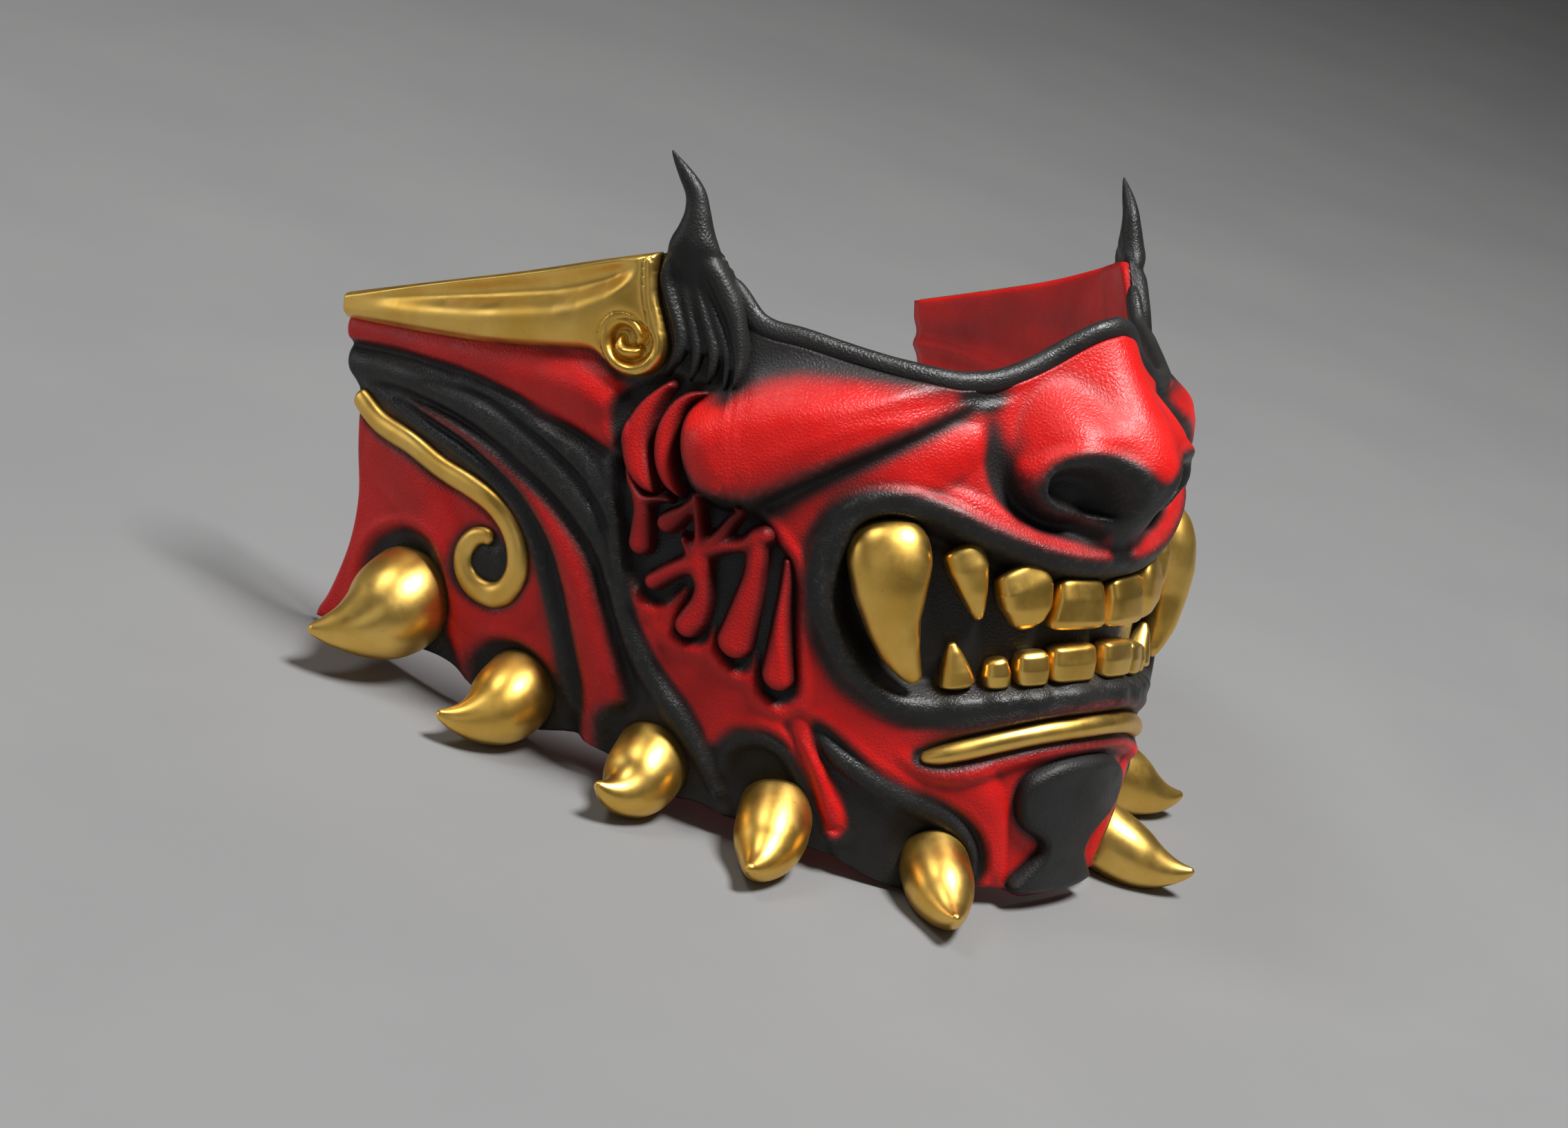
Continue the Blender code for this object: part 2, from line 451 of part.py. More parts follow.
def sheet(name, low, high, grow, finish):
    """The wall between two offsets from the face, its edges moved outwards by grow steps."""
    half = np.array(WALL_STATIONS, float)
    girth = np.concatenate([-half[:0:-1], half])
    bottom, top = limits(girth)
    share = np.linspace(0, 1, WALL_ROWS)[:, None]
    height = bottom + (top - bottom) * share
    height[0] -= grow
    height[-1] += grow
    girth = np.broadcast_to(girth, height.shape)
    lean = edge(REAR_EDGE, height.ravel()).reshape(height.shape) + grow
    girth = girth + np.sign(girth) * lean * (np.abs(girth) / GIRTH_STEPS) ** REAR_POWER
    grid = height.shape + (3,)
    outer = face(girth, height, high).reshape(grid)
    inner = face(girth, height, low).reshape(grid)
    return solid(name, *closed_grid(outer, inner), finish)


def extruded(name, rings, finish):
    """Closed body through rings of points, with a flat face at both ends."""
    count, around = rings.shape[:2]
    faces = [tuple(range(around)), tuple(range((count - 1) * around, count * around))]
    for ring in range(count - 1):
        for k in range(around):
            after = (k + 1) % around
            low, high = ring * around, (ring + 1) * around
            faces.append((low + k, low + after, high + after, high + k))
    return solid(name, rings.reshape(-1, 3), faces, finish)


def bar(name, centres, normals, half_width, half_depth, sides, finish):
    """Bar through the centres, with a ring at each inner one and a point at both ends."""
    along = np.gradient(centres, axis=0)
    along /= np.linalg.norm(along, axis=1, keepdims=True)
    across = np.cross(normals, along)
    across /= np.linalg.norm(across, axis=1, keepdims=True)
    out = np.cross(along, across)
    turn = math.pi / 2 + np.arange(sides) * 2 * math.pi / sides
    points = [centres[0]]
    for i in range(1, len(centres) - 1):
        for angle in turn:
            side = across[i] * half_width[i] * math.cos(angle)
            points.append(centres[i] + side + out[i] * half_depth[i] * math.sin(angle))
    points.append(centres[-1])
    last = len(points) - 1
    faces = []
    for k in range(sides):
        after = (k + 1) % sides
        faces.append((0, 1 + k, 1 + after))
        for ring in range(len(centres) - 3):
            low, high = 1 + ring * sides, 1 + (ring + 1) * sides
            faces.append((low + k, high + k, high + after, low + after))
        end = last - sides
        faces.append((end + k, last, end + after))
    return solid(name, points, faces, finish)


def wall_bar(name, rows, side, form, finish, grow=0.0):
    """Bar along the face through a table of round, up and share of its half width."""
    rows = smooth(rows, form.get("rings", len(rows) + 1))
    girth, height, share = rows[:, 0] * side, rows[:, 1], np.clip(rows[:, 2], 0.05, None)
    rise = form["rise"] * share ** DEPTH_TAPER
    centres = face(girth, height) - (form["sunk"] * rise)[:, None] * outward(girth, height)
    size = form["half"] * share + grow
    depth = rise * (1 + form["sunk"]) + grow
    return bar(name, centres, outward(girth, height), size, depth, form["sides"], finish)


def as_cutter(item):
    """Marks an object as a guide that only cuts."""
    item.hide_render = True
    item.display_type = "WIRE"
    return item


def cut(item, cutter):
    """Takes the cutter's space out of the item."""
    change = item.modifiers.new(cutter.name, "BOOLEAN")
    change.operation = "DIFFERENCE"
    change.solver = "EXACT"
    change.object = cutter


def fused(item, others):
    """One body of the item and the others, which are used up."""
    for other in others:
        change = item.modifiers.new(other.name, "BOOLEAN")
        change.operation = "UNION"
        change.solver = "EXACT"
        change.object = other
    bpy.context.view_layer.update()
    seen = item.evaluated_get(bpy.context.evaluated_depsgraph_get())
    mesh = bpy.data.meshes.new_from_object(seen)
    item.modifiers.clear()
    item.data = mesh
    for other in others:
        bpy.data.objects.remove(other)
    return item


def rim_roll():
    """Black rolled bead on the upper edge, from horn to horn over the nose bridge."""
    profile = np.array(RIM_PROFILE)
    stations = np.array([place for place in WALL_STATIONS if place < RIM_END], float)
    girth = np.concatenate([-stations[:0:-1], stations])
    seat = limits(girth)[1] + SEAT_GAP * HEIGHT_STEPS / FACE_HEIGHT
    crown = edge(TOP_EDGE, np.abs(girth))
    middle = relief(girth, seat) - WALL / 2
    rings = []
    for out, up in profile:
        height = seat + (crown - seat) * up
        normals = outward(girth, height)
        rings.append(wall(girth, height) + (middle + out * RIM_HALF)[:, None] * normals)
    return extruded("rim_roll", np.stack(rings, 1), "black")


def horn(side, name, grow=0.0):
    """Temple horn over the wall's top edge, with a root and five fingers down its face."""
    rows = smooth(HORN, HORN_RINGS)
    top = edge(TOP_EDGE, rows[:, 0])
    height = top + rows[:, 1] * HORN_HEIGHT / FACE_HEIGHT * HEIGHT_STEPS
    girth = rows[:, 0] * side
    normals = outward(girth, height)
    centres = face(girth, np.minimum(height, top)) * (1, 1, 0)
    centres[:, 2] = height / HEIGHT_STEPS * FACE_HEIGHT
    size = np.clip(rows[:, 2], 0.02, None) * HORN_HALF + grow
    stem = bar(name, centres, normals, size, size, SIDES, "black")
    parts = [wall_bar("root", HORN_ROOT, side, BAR_FORMS["root"], "black", grow)]
    for path in FINGERS:
        parts.append(wall_bar("finger", path, side, BAR_FORMS["finger"], "black", grow))
    return fused(stem, parts)


def crescent(side, rows, name, grow=0.0):
    """Raised red crescent behind the cheek roll."""
    return wall_bar(name, rows, side, BAR_FORMS["crescent"], "red", grow)


def drips(side, branches, name):
    """Raised red runs that join into one web."""
    parts = []
    for rows in branches:
        parts.append(wall_bar(name, rows, side, BAR_FORMS["drip"], "red"))
    return fused(parts[0], parts[1:])


def temple_plate(side):
    """Gilt plate over the temple, its front edge running down into a volute."""
    edges = np.array(PLATE_EDGES)
    profile = np.array(PLATE_PROFILE)
    girth = np.broadcast_to(edges[:, 0], (len(profile), len(edges)))
    height = edges[:, 1] + (edges[:, 2] - edges[:, 1]) * profile[:, 0][:, None]
    rise = np.broadcast_to(profile[:, 1][:, None] * PLATE_RISE, height.shape).ravel()
    grid = height.shape + (3,)
    outer = face(girth * side, height, rise).reshape(grid)
    inner = face(girth * side, height, -PLATE_RISE).reshape(grid)
    name = "temple_plate_" + SIDE_NAMES[side]
    plate = solid(name, *closed_grid(outer, inner), "gold")
    volute = wall_bar("volute", VOLUTE, side, BAR_FORMS["volute"], "gold")
    ball = wall_bar("ball", VOLUTE_BALL, side, BAR_FORMS["ball"], "gold")
    return fused(plate, [volute, ball])


def chin_patch():
    """Black domed patch below the lower lip, narrow at its middle."""
    table = np.array(CHIN_PATCH)
    share = np.array([-1, -0.8, 0, 0.8, 1])
    bulge = np.array([0.2, 0.85, 1, 0.85, 0.2])
    girth = table[:, 1][:, None] * share
    height = np.broadcast_to(table[:, 0][:, None], girth.shape)
    rise = (table[:, 2][:, None] * bulge * PATCH_RISE).ravel()
    grid = girth.shape + (3,)
    outer = face(girth, height, rise).reshape(grid)
    inner = face(girth, height, -PATCH_RISE).reshape(grid)
    return solid("chin_patch", *closed_grid(outer, inner), "black")


def spike(side, name, row):
    """Gilt spike: round at its seat, bending out of the wall to a small rounded point."""
    girth, height, tip_round, tip_up, tip_out, thickness = row
    seat = face([girth * side], [height])[0]
    normal = outward([girth * side], [height])[0]
    level = np.cross((0, 0, 1), normal)
    level *= side / np.linalg.norm(level)
    upward = np.cross(normal, level) * side
    tip = seat + (level * tip_round + upward * tip_up + normal * tip_out) * SPIKE_REACH
    start = seat - normal * WALL / 2
    middle = seat + (normal * 0.62 - upward * SPIKE_SAG) * SPIKE_REACH
    profile = np.array([(-0.02, 0.02), *SPIKE_PROFILE, (1.01, 0.01)])
    share = profile[:, 0][:, None]
    centres = start * (1 - share) ** 2 + middle * 2 * share * (1 - share) + tip * share ** 2
    size = profile[:, 1] * thickness * SPIKE_HALF
    guide = np.broadcast_to(upward, centres.shape)
    return bar(name, centres, guide, size, size, SIDES, "gold")


def tooth(side, name, rows, half, sides):
    """One tooth from a table of sections down its length."""
    rows = np.array(rows)
    girth, height = rows[:, 0] * side, rows[:, 1]
    normals = outward(girth, height)
    centres = wall(girth, height) + normals * (rows[:, 4] * TOOTH_DEPTH)[:, None]
    return bar(name, centres, normals, rows[:, 2] * half, rows[:, 3] * half, sides, "gold")


def lower_hull(points):
    """Corners of the underside of a set of (y, z) points, front to back."""
    hull = []
    for point in sorted(map(tuple, points)):
        while len(hull) > 1:
            (ay, az), (by, bz) = hull[-2], hull[-1]
            if (by - ay) * (point[1] - az) - (bz - az) * (point[0] - ay) > 0:
                break
            hull.pop()
        hull.append(point)
    return hull


def resting_turn(items, shell):
    """Angle about X that lays the mask on the two places under its balance point."""
    cloud = np.concatenate([[v.co[:] for v in item.data.vertices] for item in items])
    shell.data.calc_loop_triangles()
    corners = np.array([[shell.data.vertices[i].co[:] for i in triangle.vertices]
                        for triangle in shell.data.loop_triangles])
    parts = np.einsum("ni,ni->n", corners[:, 0], np.cross(corners[:, 1], corners[:, 2])) / 6
    balance = parts @ corners.sum(axis=1) / 4 / parts.sum()
    hull = lower_hull(cloud[:, 1:])
    steady = []
    for (ay, az), (by, bz) in zip(hull[:-1], hull[1:]):
        slope = math.atan2(bz - az, by - ay)
        run = np.array([math.cos(slope), math.sin(slope)])
        reach = (balance[1:] - (ay, az)) @ run
        if 0 <= reach <= math.hypot(by - ay, bz - az):
            steady.append(slope)
    return -min(steady, key=abs), cloud


def build():
    """All pieces, cut to their seats and leant back to rest."""
    for item in list(bpy.data.objects):
        bpy.data.objects.remove(item)
    shell = sheet("face_shell", -WALL, 0.0, 0.0, "red")
    step = FACE_HEIGHT / HEIGHT_STEPS
    seat = as_cutter(sheet("wall_seat", -SEAT_DEPTH, SEAT_GAP, SEAT_GAP / step, "red"))
    rim = rim_roll()
    seated = [chin_patch()]
    seated.append(wall_bar("chin_bar", CHIN_BAR, 1, BAR_FORMS["chin_bar"], "gold"))
    guides = [seat]
    for side, side_name in SIDE_NAMES.items():
        horn_guide = as_cutter(horn(side, "horn_guide_" + side_name, SEAT_GAP))
        rear_guide = as_cutter(crescent(side, CRESCENT_REAR, "rear_guide_" + side_name, SEAT_GAP))
        front_guide = as_cutter(crescent(side, CRESCENT_FRONT, "front_guide_" + side_name, SEAT_GAP))
        guides += [horn_guide, rear_guide, front_guide]
        temple = temple_plate(side)
        rear = crescent(side, CRESCENT_REAR, "crescent_rear_" + side_name)
        front = crescent(side, CRESCENT_FRONT, "crescent_front_" + side_name)
        tail = drips(side, TAIL_DRIP, "tail_drip_" + side_name)
        web = drips(side, DRIP_WEB, "drip_web_" + side_name)
        scroll = wall_bar("side_scroll_" + side_name, SIDE_SCROLL, side, BAR_FORMS["side_scroll"], "gold")
        seated += [horn(side, "temple_horn_" + side_name), temple, rear, front, tail, web, scroll]
        for item in (rim, temple, rear, front):
            cut(item, horn_guide)
        cut(front, rear_guide)
        for item in (tail, web):
            cut(item, rear_guide)
            cut(item, front_guide)
        for name, row in SPIKES.items():
            seated.append(spike(side, f"spike_{name}_{side_name}", row))
        seated.append(tooth(side, "fang_" + side_name, FANG, FANG_HALF, SIDES))
        for name, rows in UPPER_TEETH.items():
            seated.append(tooth(side, f"upper_tooth_{name}_{side_name}", rows, TOOTH_HALF, TOOTH_SIDES))
        for name, rows in LOWER_TEETH.items():
            seated.append(tooth(side, f"lower_tooth_{name}_{side_name}", rows, TOOTH_HALF, TOOTH_SIDES))
    for item in seated:
        cut(item, seat)
    pieces = [shell, rim, *seated]
    turn, cloud = resting_turn(pieces, shell)
    leant = cloud @ np.array(Matrix.Rotation(turn, 3, "X")).T
    middle = (leant.min(axis=0) + leant.max(axis=0)) / 2
    rest = bpy.data.objects.new("rest", None)
    bpy.context.collection.objects.link(rest)
    rest.rotation_euler.x = turn
    rest.location = (0, -middle[1], -leant[:, 2].min())
    for item in [*pieces, *guides]:
        item.parent = rest


build()
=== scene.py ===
"""Oni half mask: a red and black leather wall with gilt fangs, teeth, scrolls and spikes.

Places on the wall are charted in steps: the first number runs round from the centre line (0) to
the rear edge (185), the second from the chin (0) to the top of the nose bridge (127). A step is
about a millimetre. The mask is shaped upright, as it is worn, and then leans back to its rest.
"""
import math

import bmesh
import bpy
import numpy as np
from mathutils import Matrix, Vector
from mathutils.bvhtree import BVHTree


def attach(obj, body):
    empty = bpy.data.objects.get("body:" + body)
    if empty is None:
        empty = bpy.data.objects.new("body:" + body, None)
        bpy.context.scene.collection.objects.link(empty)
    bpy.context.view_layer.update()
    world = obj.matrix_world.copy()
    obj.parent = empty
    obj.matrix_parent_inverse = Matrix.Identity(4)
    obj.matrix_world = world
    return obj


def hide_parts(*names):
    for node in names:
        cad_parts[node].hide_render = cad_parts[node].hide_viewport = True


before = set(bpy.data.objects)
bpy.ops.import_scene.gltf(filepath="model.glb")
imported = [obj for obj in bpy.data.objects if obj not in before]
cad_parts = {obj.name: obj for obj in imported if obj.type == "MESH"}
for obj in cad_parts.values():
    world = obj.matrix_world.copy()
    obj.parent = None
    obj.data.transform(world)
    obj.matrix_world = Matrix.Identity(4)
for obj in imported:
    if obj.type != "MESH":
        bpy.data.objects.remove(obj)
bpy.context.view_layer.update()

# How the worn mask leans back to rest: turn about X in degrees, then a shift in metres
REST_TURN = -23.669315
REST_SHIFT = (0.0, -0.04252496, -0.01487062)

# Main sizes in metres
FACE_HEIGHT = 0.127
HALF_WIDTH = 0.094
DEPTH = 0.152
WALL = 0.003
NOSE_RISE = 0.016
WING_RISE = 0.0105
CHEEK_RISE = 0.008
MOUTH_DEPTH = 0.0055
NOSTRIL_DEPTH = 0.0055
EDGE_ROUND = 0.0006
HORN_HALF = 0.0065
HORN_HEIGHT = 0.0215
SPIKE_HALF = 0.0070
SPIKE_REACH = 0.0225
# the spikes that reach the floor are level there, this far above it
FLOOR_GAP = 0.0001
# points of a remeshed body nearer than this become one
WELD = 0.00003
FANG_HALF = 0.0078
TOOTH_HALF = 0.0075
TOOTH_DEPTH = 0.0034
PLATE_RISE = 0.0036
PATCH_RISE = 0.0030
RIM_DROP = 0.0034
RIM_END = 79.6
# steps in which the drop under the rim bead runs out past its end
RIM_FADE = 3
GIRTH_STEPS = 185.0
HEIGHT_STEPS = 127.0
STEP = FACE_HEIGHT / HEIGHT_STEPS
# steps past which a path or an outline no longer shapes the wall
REACH = 9.0
# steps from a free edge over which it is rounded
EDGE_STEPS = 1.2
# the least of the wall left under a deep groove
THINNEST = 0.0012
# how far under the wall's inner side a point that comes through it is put back, and how far off
# such points are looked for
INNER_COVER = 0.0006
INNER_REACH = 0.012
# distance from the wall over which a piece still takes painted shade from it
SEAT_REACH = 0.0014
# metres that a raised piece goes down into the wall for each step past its outline
DIP = 0.003

# Grid of the wall: columns to this station at the fine pitch, then at the coarse pitch
FINE_STATION = 116.0
FINE_PITCH = 0.71
COARSE_PITCH = 1.08
WALL_ROWS = 178
# rows are a little closer together at the wall's free edges
ROW_SHIFT = 0.012
# each inner column and row stands for this many outer ones
INNER_SKIP = 3

STATIONS = np.array([0.0, 0.243, 0.497, 0.741, 1.0])
# height of the level, then x and y at the five stations, as shares of FACE_HEIGHT, HALF_WIDTH, DEPTH
LEVELS = np.array([
    (0.000, 0, 0.234, 0.511, 0.723, 0.915, -0.257, -0.230, -0.072, 0.211, 0.605),
    (0.236, 0, 0.330, 0.638, 0.819, 0.979, -0.329, -0.250, -0.053, 0.237, 0.618),
    (0.472, 0, 0.404, 0.723, 0.894, 1.005, -0.375, -0.270, -0.039, 0.250, 0.612),
    (0.709, 0, 0.447, 0.766, 0.926, 1.000, -0.375, -0.276, -0.033, 0.250, 0.579),
    (0.945, 0, 0.415, 0.764, 0.926, 1.000, -0.368, -0.267, -0.026, 0.250, 0.553),
    (1.142, 0, 0.410, 0.784, 0.926, 1.000, -0.368, -0.263, -0.013, 0.250, 0.539),
])
TOP_EDGE = [
    (0, 126.3), (5, 125.2), (10, 123), (15, 120.5), (20, 118.3), (25, 116.5), (30, 115.3),
    (35, 115), (40, 115.2), (50, 117.5), (60, 120.5), (70, 124), (76, 125.7), (79.5, 128.6),
    (83, 136), (85, 140.5), (96, 140), (110, 138.6), (130, 136.5), (150, 135), (185, 132.5),
]
BOTTOM_EDGE = [
    (0, 1.3), (13, 1.4), (20, 2.2), (27, 4), (40, 5.2), (50, 4.4), (60, 4.2), (70, 7), (78, 12),
    (84, 14), (91, 15.5), (98, 19.5), (106, 23.7), (111, 24.5), (117, 28), (124, 34), (130, 37.2),
    (140, 37.3), (146, 41), (152.5, 48.5), (157, 52), (163.7, 54.2), (175, 57), (185, 60),
]
REAR_EDGE = [
    (57, 2.5), (61, 2.5), (65, 0), (72, -3), (79, -5), (88, -5.8), (98, -4.5), (107, -4),
    (113, -2.7), (117, -1), (126, 0), (133, 0.5),
]
REAR_POWER = 8

# Nose: up, rise as a share of NOSE_RISE, half width in steps
NOSE = np.array([
    (68, 0, 7), (74, 0.03, 7), (78, 0.19, 8), (83, 0.53, 9.5), (88, 0.84, 11.5), (93, 1, 13),
    (98, 0.97, 13.5), (104, 0.84, 12.5), (111, 0.62, 11), (119, 0.4, 10), (127, 0.22, 10),
    (140, 0.2, 10),
])
WING = {"centre": (13.5, 96.5), "half": (13.5, 12.5)}
# the wing's upper half is flatter than its lower one and turns into it over this share of its
# height; power of its section below, and what the upper half adds
WING_FLATTER = 0.62
WING_TURN = 0.9
WING_POWER = (0.5, 1.25)
# how sharply the wing meets the ridge below, and how much less so above
NOSE_MEETING = (6, 3.9)

# Cheek roll: the crease under it, where its top runs out, and its rise round the face
CHEEK_CREASE = [
    (82, 122), (87, 117.4), (91.2, 112), (93.8, 107), (94.6, 101), (94, 96), (92, 91.5), (88, 88.2),
    (84, 86.9), (80, 87.3), (75, 89.3), (70, 91.8), (60, 96.3), (50, 100.8), (40, 105.6),
    (33, 109.2), (26, 111.8),
]
CHEEK_OVER = [(20, 116), (24, 128), (50, 132), (78, 132)]
CHEEK_TOP = [
    (27, 112.4), (33, 112.2), (40, 113), (50, 114.4), (60, 116), (70, 117.6), (79, 117.6),
    (86, 115.6),
]
CHEEK_SHARE = [
    (26, 0.05), (33, 0.3), (42, 0.52), (52, 0.7), (62, 0.86), (72, 0.97), (80, 1), (95, 1),
]

# steps over the crease in which the roll gets its full rise, and steps in which it runs out
CHEEK_FULL = [(26, 1.2), (33, 2.2), (50, 5.5), (70, 8), (95, 8.6)]
CHEEK_RUN_OUT = [(26, 3), (50, 10), (80, 19)]
# under the brow, from the first of these heights to the second, the roll takes this many steps
CHEEK_BROW = (103, 111)
CHEEK_BROW_FULL = 10

# Outlines on the wall, in steps round and up
MOUTH_HOLLOW = [
    (-12, 72.5), (0, 72.5), (10, 73), (20, 75), (30, 79), (38, 82.5), (46, 86.5), (53, 87.5),
    (59, 85), (63, 79), (65, 72), (65, 64), (61, 54), (56, 48.8), (50, 46.5), (40, 46), (30, 46.5),
    (10, 47.5), (0, 48), (-12, 48),
]
MOUTH_BLACK = [
    (-12, 75.3), (3, 75.3), (10, 76), (20, 78.5), (30, 82.5), (38, 86.5), (45, 89.5), (52, 91),
    (58, 90.8), (63, 88.4), (66.5, 84), (69, 77), (70.3, 70), (70.5, 63), (69, 56), (66, 50),
    (60, 45.5), (55, 42.5), (50, 41.2), (40, 41.2), (30, 42.5), (20, 43.8), (10, 45), (0, 45.2),
    (-12, 45.2),
]
NOSTRIL = [
    (21.8, 91), (21.4, 93.6), (19.8, 95.2), (17, 95.9), (13, 95.6), (9.5, 94.5), (6.5, 92.3),
    (4.6, 89.4), (3.4, 86), (4.2, 83.6), (8, 84), (13, 85), (18, 86.5), (21, 88.7),
]
NOSE_UNDER = [
    (-12, 91), (0, 91.4), (3, 93.4), (6, 96), (9, 97.6), (13, 98.2), (17.5, 97.8), (20.6, 96.3),
    (22.8, 93.8), (22.8, 90.5), (21, 88.2), (16, 86), (10, 84.5), (6, 82), (3.4, 79), (2.6, 76.6),
    (0, 75), (-12, 75),
]
DRIP_FIELD = [
    (107.2, 71.6), (105, 67.6), (101, 67), (97.4, 69.6), (95.6, 70), (98.6, 64.6), (100.3, 61),
    (98, 58.8), (94, 58.8), (91.6, 61.8), (91.4, 58), (90, 55), (87.5, 53), (85, 53.6), (83.2, 57),
    (83.8, 52), (83.4, 48.5), (81, 46.2), (78.5, 46.2), (76, 48.5), (75, 53), (74, 60), (72.4, 70),
    (72.8, 76), (75, 80), (79, 86), (84, 88.6), (92, 90.5), (97, 92), (104, 94.6), (108.6, 97),
    (109, 90), (108.8, 84), (108.6, 77),
]
SWEPT_FIELD = [
    (192, 122.7), (184.5, 122), (170, 120), (160, 118), (150, 116), (140, 112.5), (133, 109.5),
    (128, 106), (120, 103), (113, 100), (108, 97), (107, 93), (108.6, 86), (108.6, 78), (108, 71),
    (108.2, 64.3), (106.4, 57), (103.6, 50), (100.7, 44.3), (98.6, 35.7), (98, 30), (98, 10),
    (120, 20), (135, 30), (132, 40), (129.9, 46), (129, 55), (129.4, 66), (130.6, 74), (132.6, 81),
    (134.6, 86), (138, 88.6), (148, 94.6), (156, 98.8), (164, 103), (174, 108.6), (182, 113.3),
    (192, 117),
]
STRIPE = [
    (170, 111.6), (160, 108.3), (150, 104.5), (140, 99), (132, 93.4), (125.6, 88.6), (120.7, 83),
    (117, 76.5), (114.9, 68), (113.6, 56), (113.2, 48), (114.8, 44.8), (119.3, 43.2), (122, 40.4),
    (124.2, 34), (129, 34), (128.2, 38), (126.2, 43), (124.7, 50), (124.6, 64), (125.7, 76),
    (128, 82), (133, 89.4), (140, 95), (148, 100.4), (160, 106),
]
CRESCENT_HOLLOW = [
    (108.4, 96.4), (109.4, 102), (109, 108.4), (106, 111.8), (101, 113.6), (97, 115), (92, 113.2),
    (88, 112.4), (91, 110.4), (94, 106), (94.8, 101), (94, 95.4), (92, 91), (97, 90), (104, 91.6),
    (107.6, 93.6),
]
FRONT_ARCH = [
    (98.4, 33), (96.4, 37), (92, 39.9), (88, 40.4), (84, 39.6), (81, 37.2), (79.3, 33), (78.3, 28),
    (77.8, 22), (78, 16), (80, 8), (98, 14),
]
LOWER_BLACK = [
    (73.6, 41.8), (71.6, 41.6), (69, 39.4), (66, 36), (62, 32), (55, 28), (50, 26), (45, 23.6),
    (40, 20.6), (36, 17), (34, 13), (34, 9), (36, 6.4), (40, 4), (50, -2), (74, -2), (79, 8),
    (78.6, 15), (74.5, 17.4), (71.6, 20), (71.2, 25), (72.6, 31), (74.6, 37),
]
REAR_ARCH = [
    (150.6, 50), (148.4, 54.6), (144.4, 57), (140, 57.4), (135, 55.6), (131.4, 51.4), (129.4, 45),
    (130, 34), (150, 34),
]
CORNER_ARCH = [
    (176.6, 68), (175.6, 74.6), (172, 79), (165, 81), (158, 79), (154.2, 73), (153, 65),
    (154.4, 58), (152, 48), (158, 44), (176, 52),
]
CHEEK_FADE = [
    (28, 111.4), (33, 110.8), (40, 111), (50, 112.2), (60, 113.8), (70, 114.6), (77, 113.4),
    (81, 111.4), (85, 111.2), (84, 122), (80, 134), (60, 126), (40, 119), (28, 119),
]
HORN_FIELD = [
    (79.8, 124), (80.4, 117), (82, 112.4), (86, 111.4), (90, 112.8), (94, 113.6), (98.6, 115),
    (97, 119), (96, 122.6), (96.8, 126), (97.4, 131), (97.6, 144), (84, 144), (80, 131),
]
SCROLL_EYE = [
    (147.4, 74), (146.4, 77.6), (143, 78.6), (139.6, 78.4), (137.6, 76), (138, 71.6), (140.6, 69.6),
    (144, 69.4), (146.8, 71.2),
]

# Steps in the wall: rise in mm inside the outline, width of the slope in steps, rise of the lip
# that runs round outside it
TERRACES = {
    "drip_field": (-1.5, 1.5, 0.75, DRIP_FIELD),
    "stripe": (0.8, 2.2, 0.0, STRIPE),
    "crescent_hollow": (-1.5, 2.0, 0.3, CRESCENT_HOLLOW),
    "front_arch": (-1.0, 1.8, 0.35, FRONT_ARCH),
    "lower_black": (-0.9, 1.8, 0.3, LOWER_BLACK),
    "rear_arch": (-0.9, 2.0, 0.45, REAR_ARCH),
    "corner_arch": (-1.1, 2.2, 0.5, CORNER_ARCH),
    "horn_field": (-0.5, 2.0, 0.0, HORN_FIELD),
}
# steps from the outline to the middle of that lip, and its width
TERRACE_LIP = (1.7, 1.2)
